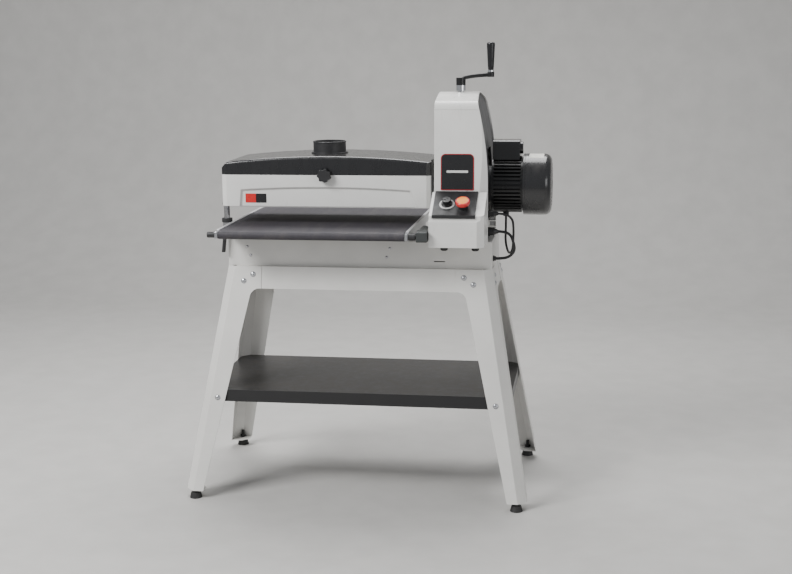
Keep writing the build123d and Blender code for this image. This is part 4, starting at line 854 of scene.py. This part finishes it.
@dataclass(frozen=True)
class DomeBolts:
    """Domed bolt heads on a thin washer, with a socket in the crown."""

    head_radius: float = 0.0068
    head_height: float = 0.0034
    washer_radius: float = 0.0084
    washer_height: float = 0.0010
    socket_radius: float = 0.0024
    shank_radius: float = 0.0040
    shank_length: float = 0.0115

    def build(self, name: str, places: Sequence[tuple[Point, Point]], finish: Finish) -> bpy.types.Object:
        """Builds one head and shank on each place.

        Args:
            name: the piece's name.
            places: each bolt's point on its face, and that face's outward direction.
            finish: their finish.

        Returns:
            One object with every bolt in it.
        """
        tree = Tree(f"{name}_tree", finish)
        head, height, washer, thick, socket, shank, length = (
            tree.number(label, value) for label, value in (
                ("Head Radius", self.head_radius), ("Head Height", self.head_height),
                ("Washer Radius", self.washer_radius), ("Washer Height", self.washer_height),
                ("Socket Radius", self.socket_radius), ("Shank Radius", self.shank_radius),
                ("Shank Length", self.shank_length)))
        ball = tree.node("GeometryNodeMeshUVSphere", Segments=24, Rings=14, Radius=1.0).outputs["Mesh"]
        up = tree.node("ShaderNodeSeparateXYZ",
                       Vector=tree.node("GeometryNodeInputPosition").outputs["Position"]).outputs["Z"]
        below = tree.node("FunctionNodeCompare", {"operation": "LESS_THAN"}, A=up, B=-0.02).outputs["Result"]
        dome = tree.node("GeometryNodeDeleteGeometry", Geometry=ball, Selection=below).outputs["Geometry"]
        rise = tree.arithmetic("SUBTRACT", height, thick)
        crown = tree.moved(dome, tree.vector(z=thick), scale=tree.vector(head, head, rise))
        disc = tree.node("GeometryNodeMeshCylinder", Vertices=28, Radius=washer, Depth=thick).outputs["Mesh"]
        disc = tree.moved(disc, tree.vector(z=tree.arithmetic("MULTIPLY", thick, 0.5)))
        bar = tree.node("GeometryNodeMeshCylinder", Vertices=16, Radius=shank, Depth=length).outputs["Mesh"]
        bar = tree.moved(bar, tree.vector(z=tree.arithmetic("MULTIPLY", length, -0.49)))
        hollow = tree.node("GeometryNodeMeshCylinder", Vertices=6, Radius=socket, Depth=0.0004)
        hollow = tree.moved(hollow.outputs["Mesh"], tree.vector(z=height))
        stamp = tree.joined(crown, disc, bar, hollow)
        out = tree.node("GeometryNodeInputNamedAttribute", {"data_type": "FLOAT_VECTOR"}, Name="out")
        turn = tree.node("FunctionNodeAlignRotationToVector", {"axis": "Z"}, Vector=out.outputs[0])
        copies = tree.node("GeometryNodeInstanceOnPoints", Points=tree.source.outputs["Geometry"],
                           Instance=stamp, Rotation=turn.outputs["Rotation"])
        tree.end(copies.outputs["Instances"])
        return tree.built(name, marked_points(f"{name}_points", places))


@dataclass(frozen=True)
class Coil:
    """A compression spring standing on a point."""

    radius: float = 0.0045
    wire: float = 0.0008
    turns: float = 7.0
    height: float = 0.0330

    def build(self, name: str, foot: Vector, finish: Finish) -> bpy.types.Object:
        """Builds the spring.

        Args:
            name: the piece's name.
            foot: the middle of its lower end.
            finish: its finish.

        Returns:
            The spring.
        """
        tree = Tree(f"{name}_tree", finish)
        radius = tree.number("Coil Radius", self.radius)
        wire = tree.number("Wire Radius", self.wire)
        turns = tree.number("Turns", self.turns)
        height = tree.number("Height", self.height)
        spiral = tree.node("GeometryNodeCurveSpiral", Resolution=24, Rotations=turns, Height=height,
                           Start_Radius=radius, End_Radius=radius).outputs["Curve"]
        ring = tree.node("GeometryNodeCurvePrimitiveCircle", Resolution=10, Radius=wire).outputs["Curve"]
        tube = tree.node("GeometryNodeCurveToMesh", Curve=spiral, Profile_Curve=ring, Fill_Caps=True)
        tree.end(tube.outputs["Mesh"])
        return tree.built(name, bpy.data.meshes.new(f"{name}_base"), Matrix.Translation(foot))


@dataclass(frozen=True)
class DialTicks:
    """Short raised marks round a dial."""

    ring_radius: float = 0.0196
    count: int = 11
    length: float = 0.0030
    width: float = 0.0008
    height: float = 0.0003

    def build(self, name: str, place: Matrix, finish: Finish) -> bpy.types.Object:
        """Builds the marks.

        Args:
            name: the piece's name.
            place: from the dial's plane to the frame.
            finish: their finish.

        Returns:
            One object with every mark.
        """
        tree = Tree(f"{name}_tree", finish)
        radius = tree.number("Ring Radius", self.ring_radius)
        count = tree.number("Count", self.count)
        ring = tree.node("GeometryNodeMeshCircle", Vertices=count, Radius=radius).outputs["Mesh"]
        bar = tree.node("GeometryNodeMeshCube",
                        Size=tree.vector(self.length, self.width, self.height)).outputs["Mesh"]
        outward = tree.node("GeometryNodeInputPosition").outputs["Position"]
        turn = tree.node("FunctionNodeAlignRotationToVector", {"axis": "X"}, Vector=outward)
        copies = tree.node("GeometryNodeInstanceOnPoints", Points=ring, Instance=bar,
                           Rotation=turn.outputs["Rotation"])
        tree.end(copies.outputs["Instances"])
        return tree.built(name, bpy.data.meshes.new(f"{name}_base"), place)


# ---------------------------------------------------------------------------------- places
# Sizes in millimetres, as the CAD has them.
STAND_X = -26.6           # the stand's middle plane in the frame
SLOPE_BACK = (-165.0, 943.5)   # the console's sloping face: its upper edge's Y and Z
SLOPE_FRONT = (-262.0, 884.0)  # its lower edge's
EMBLEM_FOOT = (-165.0, 948.0)  # the column front's Y and Z at the emblem's foot
COVER_TOP = (-148.0, 1205.0)   # the column front's Y and Z at its top
MOTOR_Z = 950.0           # the motor's axis
FAN_RADIUS = 93.45        # the fan cover's outside


def spot(x: float, y: float, z: float) -> Vector:
    """A place in the frame from millimetres counted from the stand's middle plane."""
    return Vector(((x + STAND_X) * MM, y * MM, z * MM))


def facing(origin: Vector, normal: Vector, right: Vector = Vector((1, 0, 0))) -> Matrix:
    """Works out a plane's placement.

    Args:
        origin: its origin.
        normal: its outward direction, which becomes Z.
        right: the direction that X leans to.

    Returns:
        The placement, from the plane to the frame.
    """
    z = normal.normalized()
    x = (right - z * right.dot(z)).normalized()
    y = z.cross(x)
    made = Matrix((x, y, z)).transposed().to_4x4()
    made.translation = origin
    return made


def on_slope(x: float, y: float) -> tuple[Vector, Vector]:
    """Finds a place on the console's sloping face.

    Args:
        x: its X from the stand's middle plane, in millimetres.
        y: its Y in millimetres.

    Returns:
        The place, and the face's outward normal.
    """
    (back_y, back_z), (front_y, front_z) = SLOPE_BACK, SLOPE_FRONT
    angle = atan2(back_z - front_z, back_y - front_y)
    height = back_z - (back_y - y) * sin(angle) / cos(angle)
    return spot(x, y, height), Vector((0, -sin(angle), cos(angle)))


def scaled(points: Sequence[Point]) -> list[tuple[float, float]]:
    """Plane points from millimetres to metres."""
    return [(x * MM, y * MM) for x, y in points]


def bar(name: str, body: str, low: Point, high: Point, finish: Finish, width: float) -> bpy.types.Object:
    """Makes a block with rounded edges that rides on a body.

    Args:
        name: the piece's name.
        body: the body it rides on.
        low: its lowest corner in millimetres.
        high: its highest corner.
        finish: its finish.
        width: how far its edges are rounded, in metres.

    Returns:
        The block.
    """
    shape = bmesh.new()
    bmesh.ops.create_cube(shape, size=1.0)
    first, last = spot(*low), spot(*high)
    for corner in shape.verts:
        corner.co = Vector(first[i] + (corner.co[i] + 0.5) * (last[i] - first[i]) for i in range(3))
    weigh_edges(shape, 1.0, 40.0)
    piece = rounded(to_object(name, shape, finish), width, 3)
    return place_piece(piece, body, finish)


# ---------------------------------------------------------------------------------- the machine
@dataclass(frozen=True)
class Dressing:
    """How one CAD node is finished: its finish, and the rounding of its edges in metres."""

    node: str
    finish: Finish
    width: float = 0.0006
    fold: float = 1.0
    steps: int = 2


@dataclass
class SubAssembly:
    """A group of nodes that ride on one body."""

    body: str
    dressings: tuple[Dressing, ...] = ()

    def dress(self) -> None:
        """Finishes every node of the group; a width of nought keeps the node's own mesh."""
        for item in self.dressings:
            if item.width > 0:
                finished_node(item.node, self.body, item.finish, item.width, item.fold, item.steps)
                continue
            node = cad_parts[item.node]
            if node.material_slots:
                node.material_slots[0].material = item.finish.material()
            else:
                node.data.materials.append(item.finish.material())
            LOG.info("%s keeps its own mesh", item.node)

    def build(self) -> None:
        """Builds the group."""
        self.dress()


@dataclass
class Stand(SubAssembly):
    """Four splayed legs, their aprons, the shelf, the feet and the bolts."""

    body: str = "stand"
    dressings: tuple[Dressing, ...] = (
        *(Dressing(f"leg_{end}_{side}", STAND_WHITE, 0.0004, 4.0)
          for end in ("front", "rear") for side in ("left", "right")),
        Dressing("long_aprons", STAND_WHITE, 0.0), Dressing("short_aprons", STAND_WHITE, 0.0),
        Dressing("lower_shelf", SHELF_BLACK, 0.0005), Dressing("levelling_feet", RUBBER, 0.0008),
    )
    foot_half_x: float = 526.3
    foot_half_y: float = 294.1
    lean_x: float = 116.1 / 682.5
    lean_y: float = 143.4 / 682.5
    foot_z: float = 24.5
    front_bolts: tuple[tuple[float, float], ...] = ((326.0, 683.0), (355.0, 663.0), (429.0, 309.0))
    side_bolts: tuple[tuple[float, float], ...] = ((92.0, 683.0), (116.0, 663.0))

    def bolt_places(self) -> list[tuple[Point, Point]]:
        """Lists the stand's bolts.

        Returns:
            Each bolt's point and outward direction.
        """
        places = []
        for x_side in (-1, 1):
            for y_side in (-1, 1):
                for x, z in self.front_bolts:
                    y = y_side * (self.foot_half_y - self.lean_y * (z - self.foot_z))
                    places.append((spot(x_side * x, y, z), (0, y_side, self.lean_y)))
                for y, z in self.side_bolts:
                    x = x_side * (self.foot_half_x - self.lean_x * (z - self.foot_z))
                    places.append((spot(x, y_side * y, z), (x_side, 0, self.lean_x)))
        return places

    def build(self) -> None:
        """Builds the stand."""
        self.dress()
        bolts = DomeBolts().build("stand_flange_bolts", self.bolt_places(), ZINC)
        place_piece(bolts, self.body, ZINC, "stand_bolts")


@dataclass
class Base(SubAssembly):
    """The base box, its screws and the conveyor bed with its belt."""

    body: str = "stand"
    dressings: tuple[Dressing, ...] = (
        Dressing("base_box", STAND_WHITE, 0.0004), Dressing("conveyor_bed", RAIL, 0.0006),
        Dressing("conveyor_belt", BELT, 0.0), Dressing("roller_bearing_blocks", ZINC, 0.0010),
        Dressing("gearmotor", GEAR_GREY, 0.0006), Dressing("adjuster_post", STEEL, 0.0005),
    )
    side_y: float = 135.0
    screws: tuple[tuple[float, float], ...] = ((-347.0, 766.0), (-337.0, 739.0), (98.0, 766.0), (88.0, 739.0))

    def build(self) -> None:
        """Builds the base and the conveyor."""
        self.dress()
        places = [(spot(x, y_side * self.side_y, z), (0, y_side, 0))
                  for y_side in (-1, 1) for x, z in self.screws]
        heads = DomeBolts(0.0040, 0.0025, 0.0047, 0.0006, 0.0015, 0.0024, 0.0095)
        place_piece(heads.build("base_pan_screws", places, STEEL), self.body, ZINC, "base_screws")


@dataclass
class Column(SubAssembly):
    """The column's covers, its side panel, its guides and the emblem plate."""

    body: str = "stand"
    dressings: tuple[Dressing, ...] = (
        Dressing("column_front_cover", HEAD_WHITE, 0.0008), Dressing("column_rear_cover", HEAD_WHITE, 0.0008),
        Dressing("column_top_cap", HEAD_WHITE, 0.0008), Dressing("column_left_panel", HEAD_WHITE, 0.0),
        Dressing("column_right_panel", PANEL_GREY, 0.0), Dressing("guide_rods", STEEL, 0.0005),
        Dressing("column_top_plate", MOTOR_BLACK, 0.0006),
    )
    emblem_x: float = 307.5

    def build(self) -> None:
        """Builds the column."""
        self.dress()
        lean = (COVER_TOP[0] - EMBLEM_FOOT[0]) / (COVER_TOP[1] - EMBLEM_FOOT[1])
        normal = Vector((0, -1, lean)).normalized()
        foot = spot(self.emblem_x, *EMBLEM_FOOT) + normal * 0.0001
        outline = scaled(rounded_corners(99.0, 108.0, 4.0, 14.0))
        emblem = plate("column_emblem", outline, 0.0012, facing(foot, normal), EMBLEM_DARK, EMBLEM_RED,
                       border=0.0022)
        place_piece(emblem, self.body, EMBLEM_DARK)
        inner = facing(foot + normal * 0.0009 + facing(foot, normal).col[1].to_3d() * 0.052, normal)
        outline = scaled(rounded_corners(64.0, 7.0, 2.0, 2.0))
        stripe = plate("column_emblem_bar", outline, 0.0004, inner, SILVER)
        place_piece(stripe, self.body, SILVER)


@dataclass
class Console(SubAssembly):
    """The console box with its panel, dial ring, bumpers and the cord bracket."""

    body: str = "stand"
    dressings: tuple[Dressing, ...] = (
        Dressing("console_box", HEAD_WHITE, 0.0008), Dressing("control_panel", PLASTIC_BLACK, 0.0006),
        Dressing("cord_glands", PLASTIC_BLACK, 0.0005),
    )

    def build(self) -> None:
        """Builds the console."""
        self.dress()
        face, normal = on_slope(283.0, -218.0)
        face += normal * 0.0033
        ring = spun("speed_dial_ring", [(0.0172, 0.0), (0.0226, 0.0), (0.0228, 0.0002), (0.0226, 0.0005),
                                        (0.0174, 0.0005), (0.0172, 0.0003), (0.0172, 0.0)],
                    face, normal, SILVER, steps=96)
        place_piece(ring, self.body, SILVER)
        ticks = DialTicks().build("speed_dial_ticks", facing(face + normal * 0.0005, normal), EMBLEM_DARK)
        place_piece(ticks, self.body, EMBLEM_DARK)
        for side, x in (("left", 276.0), ("right", 368.0)):
            profile = [(0.0, -0.0125), (0.0075, -0.0125), (0.0100, -0.0110), (0.0110, -0.0080),
                       (0.0110, -0.0002), (0.0, -0.0002)]
            foot = spot(x, -236.0, 791.0)
            bumper = spun(f"console_bumper_{side}", profile, foot, Vector((0, 0, 1)), RUBBER)
            place_piece(bumper, self.body, RUBBER)
        for part, low, high in (("low", (397.0, -112.0, 832.0), (417.0, -88.0, 834.5)),
                                ("high", (397.0, -112.0, 850.0), (417.0, -88.0, 852.5)),
                                ("back", (393.5, -112.0, 832.0), (397.0, -88.0, 852.5))):
            bar(f"lead_bracket_{part}", self.body, low, high, STAND_WHITE, 0.0006)


@dataclass
class Controls(SubAssembly):
    """A small part that moves and is only dressed."""


@dataclass
class Roller(SubAssembly):
    """A belt roller with dark caps outside the rails."""

    node: str = ""
    caps_from: tuple[float, float] = (-405.2, 175.6)

    def build(self) -> None:
        """Builds the roller."""
        shape = node_shape(self.node)
        low, high = (spot(x, 0.0, 0.0).x for x in self.caps_from)
        for face in shape.faces:
            face.material_index = int(not low < face.calc_center_median().x < high)
        weigh_edges(shape)
        piece = rounded(to_object(f"{self.node}_finished", shape, STEEL, PLASTIC_BLACK), 0.0008, 2)
        place_piece(piece, self.body, STEEL, self.node)


@dataclass
class StopButton(SubAssembly):
    """The mushroom stop button with its bright face."""

    body: str = "stop_control"
    dressings: tuple[Dressing, ...] = (Dressing("stop_button", STOP_RED, 0.0006),)
    crown_height: float = 31.3

    def build(self) -> None:
        """Builds the button."""
        self.dress()
        crown, normal = on_slope(332.0, -232.0)
        crown += normal * self.crown_height * MM
        profile = [(0.0, 0.0014), (0.006, 0.0013), (0.012, 0.0010), (0.0155, 0.0005), (0.0165, -0.0004),
                   (0.0, -0.0004)]
        cap = spun("stop_button_face", profile, crown, normal, STOP_YELLOW, steps=72)
        place_piece(cap, self.body, STOP_RED)


@dataclass
class Crank(SubAssembly):
    """The lead screw with its crank arm and collars."""

    body: str = "crank"
    dressings: tuple[Dressing, ...] = (
        Dressing("lead_screw", STEEL, 0.0005), Dressing("crank_fittings", CHROME, 0.0005),
        Dressing("crank_arm", MOTOR_BLACK, 0.0),
    )

    def build(self) -> None:
        """Builds the crank."""
        self.dress()
        screw = spun("crank_set_screw", [(0.0, -0.001), (0.0030, -0.001), (0.0030, 0.0008), (0.0026, 0.0012),
                                         (0.0014, 0.0012), (0.0014, 0.0002), (0.0, 0.0002)],
                     spot(301.0, -14.5, 1242.5), Vector((0, -1, 0)), STEEL, steps=32)
        place_piece(screw, self.body, CHROME)


@dataclass
class Head(SubAssembly):
    """The lifting head: its carriage, covers, ends, springs and the motor's casing."""

    body: str = "head"
    dressings: tuple[Dressing, ...] = (
        Dressing("carriage", CASTING, 0.0), Dressing("lift_nut", BRONZE, 0.0006),
        Dressing("head_front_cover", HEAD_WHITE, 0.0012), Dressing("head_rear_cover", HEAD_WHITE, 0.0008),
        Dressing("head_left_end", HEAD_WHITE, 0.0008), Dressing("head_right_end", HEAD_WHITE, 0.0008),
        Dressing("drum_bearings", STEEL, 0.0006), Dressing("gap_seal", RUBBER, 0.0006),
        Dressing("cover_hinge_pins", STEEL, 0.0005), Dressing("motor_housing", MOTOR_BLACK, 0.0),
        Dressing("capacitor_box", GLOSS_BLACK, 0.0008),
    )
    carrier_x: tuple[float, float] = (-404.4, 206.0)
    carrier_y: float = 88.0

    def fan_cover(self) -> None:
        """The motor's rear cover: a drum with ring slots in its end."""
        centre = spot(494.5, 0.0, MOTOR_Z)
        profile = [(0.0, 0.0030), (0.090, 0.0030), (0.0914, 0.0010), (0.0924, 0.0), (0.0934, 0.0010),
                   (0.0934, 0.0055), (0.0930, 0.0060), (0.0930, 0.0075), (0.0934, 0.0080)]
        profile += arc((0.0714, 0.0630), 0.0220, 0, 90, 12)
        for radius in (0.066, 0.055, 0.044, 0.033):
            profile += [(radius, 0.0850), (radius - 0.0006, 0.0844), (radius - 0.0006, 0.0815),
                        (radius - 0.0054, 0.0815), (radius - 0.0054, 0.0844), (radius - 0.0060, 0.0850)]
        profile += [(0.018, 0.0850), (0.016, 0.0842), (0.0, 0.0842)]
        cover = spun("fan_cover_drum", profile, centre, Vector((1, 0, 0)), LID_BLACK, steps=112)
        place_piece(cover, self.body, LID_BLACK, "fan_cover")

    def label(self) -> None:
        """A small plain label that follows the fan cover's round top."""
        shape = bmesh.new()
        rows = []
        for step in range(9):
            turn = radians(-26.0 + 3.0 * step)
            rows.append([])
            for x, lift in ((512.0, 0.0), (512.0, 0.2), (556.0, 0.2), (556.0, 0.0)):
                radius = FAN_RADIUS + lift
                rows[-1].append(shape.verts.new(spot(x, radius * sin(turn), MOTOR_Z + radius * cos(turn))))
        for near, far in zip(rows, rows[1:]):
            for first, second in ((0, 1), (1, 2), (2, 3), (3, 0)):
                shape.faces.new((near[first], near[second], far[second], far[first]))
        shape.faces.new(rows[0])
        shape.faces.new(list(reversed(rows[-1])))
        bmesh.ops.recalc_face_normals(shape, faces=shape.faces)
        place_piece(to_object("fan_cover_label", shape, LABEL), self.body, LABEL)

    def springs(self) -> None:
        """The springs over the pressure rollers, and the seats that they push against."""
        for row, y_side in (("infeed", -1), ("outfeed", 1)):
            for side, x in zip(("left", "right"), self.carrier_x):
                y = y_side * self.carrier_y
                foot = spot(x, y, 927.0)
                coil = Coil().build(f"{row}_spring_{side}", foot, STEEL)
                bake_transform(coil)
                bar(f"{row}_spring_seat_{side}", self.body, (x - 6.0, y - 11.5, 960.5),
                    (x + 6.0, y + 11.5, 964.0), STEEL, 0.0005)

    def badge(self) -> None:
        """The two-coloured badge in the front cover's recess."""
        for half, x, finish in (("left", -334.5, BADGE_RED), ("right", -301.5, EMBLEM_DARK)):
            foot = spot(x, -124.05, 901.0)
            outline = scaled(rounded_corners(33.0, 28.0, 1.5, 1.5))
            made = plate(f"head_badge_{half}", outline, 0.0008, facing(foot, Vector((0, -1, 0))), finish)
            place_piece(made, self.body, finish)

    def build(self) -> None:
        """Builds the head."""
        self.dress()
        self.fan_cover()
        self.label()
        self.springs()
        self.badge()


@dataclass
class DustCover(SubAssembly):
    """The hinged dust cover and its port."""

    body: str = "lid"
    dressings: tuple[Dressing, ...] = (
        Dressing("dust_cover", LID_BLACK, 0.0), Dressing("dust_port", PLASTIC_BLACK, 0.0006),
    )

    def build(self) -> None:
        """Builds the cover."""
        self.dress()
        rim = spun("dust_port_rim", [(0.0478, 0.0), (0.0508, 0.0), (0.0518, 0.0006), (0.0520, 0.0018),
                                     (0.0516, 0.0032), (0.0504, 0.0038), (0.0484, 0.0038), (0.0478, 0.0030),
                                     (0.0478, 0.0)], spot(-109.7, 0.0, 1077.0), Vector((0, 0, 1)),
                   PLASTIC_BLACK, steps=112)
        place_piece(rim, self.body, PLASTIC_BLACK)


@dataclass
class Drum(SubAssembly):
    """The drum with its shaft and the abrasive wrapped round it."""

    body: str = "drum"
    dressings: tuple[Dressing, ...] = (
        Dressing("drum_shell", ALUMINIUM, 0.0006), Dressing("drum_shaft", STEEL, 0.0006),
        Dressing("abrasive_wrap", WRAP, 0.0),
    )


@dataclass
class Lead:
    """A lead from one end to the other along its route, in millimetres.

    Where it has a far body, it rides on no body; otherwise it rides on the stand.
    """

    name: str
    node: str
    radius: float
    points: tuple[Point, ...]
    far_body: str = ""
    blend_start: Point = (440.0, -90.0, 800.0)
    blend_end: Point = (440.0, -4.0, 800.0)

    def build(self) -> None:
        curve = bpy.data.curves.new(self.name, "CURVE")
        curve.dimensions = "3D"
        curve.resolution_u = 12
        line = curve.splines.new("NURBS")
        line.points.add(len(self.points) - 1)
        for point, place in zip(line.points, self.points):
            point.co = (*spot(*place), 1.0)
        line.order_u = 3
        line.use_endpoint_u = True
        holder = bpy.data.objects.new(f"{self.name}_route", curve)
        bpy.context.scene.collection.objects.link(holder)
        graph = bpy.context.evaluated_depsgraph_get()
        bare = bpy.data.meshes.new_from_object(holder.evaluated_get(graph), depsgraph=graph)
        curve.bevel_depth = self.radius * MM
        curve.bevel_resolution = 6
        curve.use_fill_caps = True
        graph.update()
        tube = bpy.data.meshes.new_from_object(holder.evaluated_get(graph), depsgraph=graph)
        bpy.data.objects.remove(holder)
        tube.materials.clear()
        tube.materials.append(JACKET.material())
        tube.polygons.foreach_set("use_smooth", [True] * len(tube.polygons))
        piece = bpy.data.objects.new(self.name, tube)
        bpy.context.scene.collection.objects.link(piece)
        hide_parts(self.node)
        if self.far_body:
            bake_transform(piece)
        else:
            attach(piece, "stand")


# ---------------------------------------------------------------------------------- studio
@dataclass
class Studio:
    """The floor, the soft lights and the view."""

    lens: float = 61.557
    place: tuple[float, float, float] = (0.7219, -4.1428, 1.4111)
    yaw: float = 8.97
    pitch: float = 10.66
    roll: float = -0.59

    def floor(self) -> None:
        """A wide pale floor under the feet, curving up into a backdrop."""
        shape = bmesh.new()
        profile = [(-7.0, 0.0), (2.6, 0.0), *arc((2.6, 1.6), 1.6, -90.0, 0.0, 10)[1:], (4.2, 6.0)]
        rows = [[shape.verts.new((x, y, z)) for y, z in profile] for x in (-8.0, 8.0)]
        for step in range(len(profile) - 1):
            shape.faces.new((rows[0][step], rows[1][step], rows[1][step + 1], rows[0][step + 1]))
        to_object("studio_floor", shape, FLOOR, sharp=60.0)

    def light(self, name: str, place: Point, aim: Point, size: float, power: float) -> None:
        """One soft area light.

        Args:
            name: its name.
            place: where it stands.
            aim: the point it faces.
            size: its side in metres.
            power: its power in watts.
        """
        lamp = bpy.data.lights.new(name, "AREA")
        lamp.shape = "RECTANGLE"
        lamp.size = size
        lamp.size_y = size * 0.7
        lamp.energy = power
        holder = bpy.data.objects.new(name, lamp)
        bpy.context.scene.collection.objects.link(holder)
        holder.location = place
        holder.rotation_euler = (Vector(aim) - Vector(place)).to_track_quat("-Z", "Y").to_euler()

    def camera(self) -> None:
        """The view of the machine from the operator's right."""
        yaw, pitch, roll = radians(self.yaw), radians(self.pitch), radians(self.roll)
        ahead = Vector((-sin(yaw) * cos(pitch), cos(yaw) * cos(pitch), -sin(pitch)))
        right = Vector((cos(yaw), sin(yaw), 0.0))
        up = right.cross(ahead)
        across = right * cos(roll) + up * sin(roll)
        above = up * cos(roll) - right * sin(roll)
        made = bpy.data.cameras.new("view")
        made.lens = self.lens
        made.sensor_width = 36.0
        holder = bpy.data.objects.new("view", made)
        bpy.context.scene.collection.objects.link(holder)
        turn = Matrix((across, above, -ahead)).transposed().to_4x4()
        holder.matrix_world = Matrix.Translation(self.place) @ turn
        bpy.context.scene.camera = holder

    def build(self) -> None:
        """Builds the studio."""
        self.floor()
        self.camera()
        self.light("key", (-2.6, -2.6, 3.4), (0.0, 0.0, 0.8), 2.0, 230.0)
        self.light("fill", (3.6, -3.0, 1.8), (0.1, 0.0, 0.7), 2.4, 40.0)
        self.light("top", (0.0, 1.1, 3.4), (0.0, 0.0, 0.8), 2.6, 120.0)
        world = bpy.data.worlds.new("studio")
        bpy.context.scene.world = world
        world.use_nodes = True
        sky = world.node_tree.nodes["Background"].inputs
        sky["Color"].default_value = (0.86, 0.88, 0.92, 1.0)
        sky["Strength"].default_value = 0.42


MOTOR_LEAD = Lead("motor_cord", "motor_lead", 3.5, (
    (424.0, -100.0, 871.0), (444.0, -100.0, 871.0), (461.0, -97.0, 861.0), (470.0, -92.0, 844.0),
    (469.0, -86.0, 774.0), (461.0, -63.0, 745.0), (448.0, -27.0, 743.0), (438.5, -4.0, 774.0),
    (440.0, 0.0, 815.0), (440.0, 0.0, 852.0)), "head")
SUPPLY_LEAD = Lead("supply_cord", "supply_lead", 4.25, (
    (424.0, -100.0, 817.0), (445.0, -100.0, 817.0), (463.5, -103.0, 806.0), (471.0, -108.0, 785.0),
    (475.0, -100.0, 761.0), (461.0, -93.0, 741.0), (439.0, -90.0, 733.0), (417.0, -90.0, 733.0)))


def main() -> None:
    """Builds every sub-assembly, then the studio round them."""
    logging.basicConfig(level=logging.INFO, format="%(name)s: %(message)s")
    parts: list[SubAssembly | Lead | Studio] = [
        Stand(), Base(), Column(), Console(), StopButton(), Crank(), Head(), DustCover(), Drum(),
        Controls("lid_latch", (Dressing("cover_knob", PLASTIC_BLACK, 0.0008, 1.0, 3),)),
        Controls("infeed_slides", (Dressing("infeed_carrier", PLASTIC_BLACK, 0.0006),)),
        Controls("outfeed_slides", (Dressing("outfeed_carrier", PLASTIC_BLACK, 0.0006),)),
        Controls("infeed_pressure", (Dressing("infeed_roller", ROLLER, 0.0008),)),
        Controls("outfeed_pressure", (Dressing("outfeed_roller", ROLLER, 0.0008),)),
        Roller("feed_drive", node="drive_roller"), Roller("feed_idler", node="driven_roller"),
        Controls("crank_handle", (Dressing("crank_grip", GLOSS_BLACK, 0.0006),)),
        Controls("speed_control", (Dressing("speed_knob", GLOSS_BLACK, 0.0005),)),
        Controls("table_lock", (Dressing("lock_lever", PLASTIC_BLACK, 0.0008),)),
        Controls("table_adjuster", (Dressing("adjuster_dial", PLASTIC_BLACK, 0.0005),)),
        MOTOR_LEAD, SUPPLY_LEAD, Studio(),
    ]
    for part in parts:
        part.build()


if __name__ == "__main__":
    main()
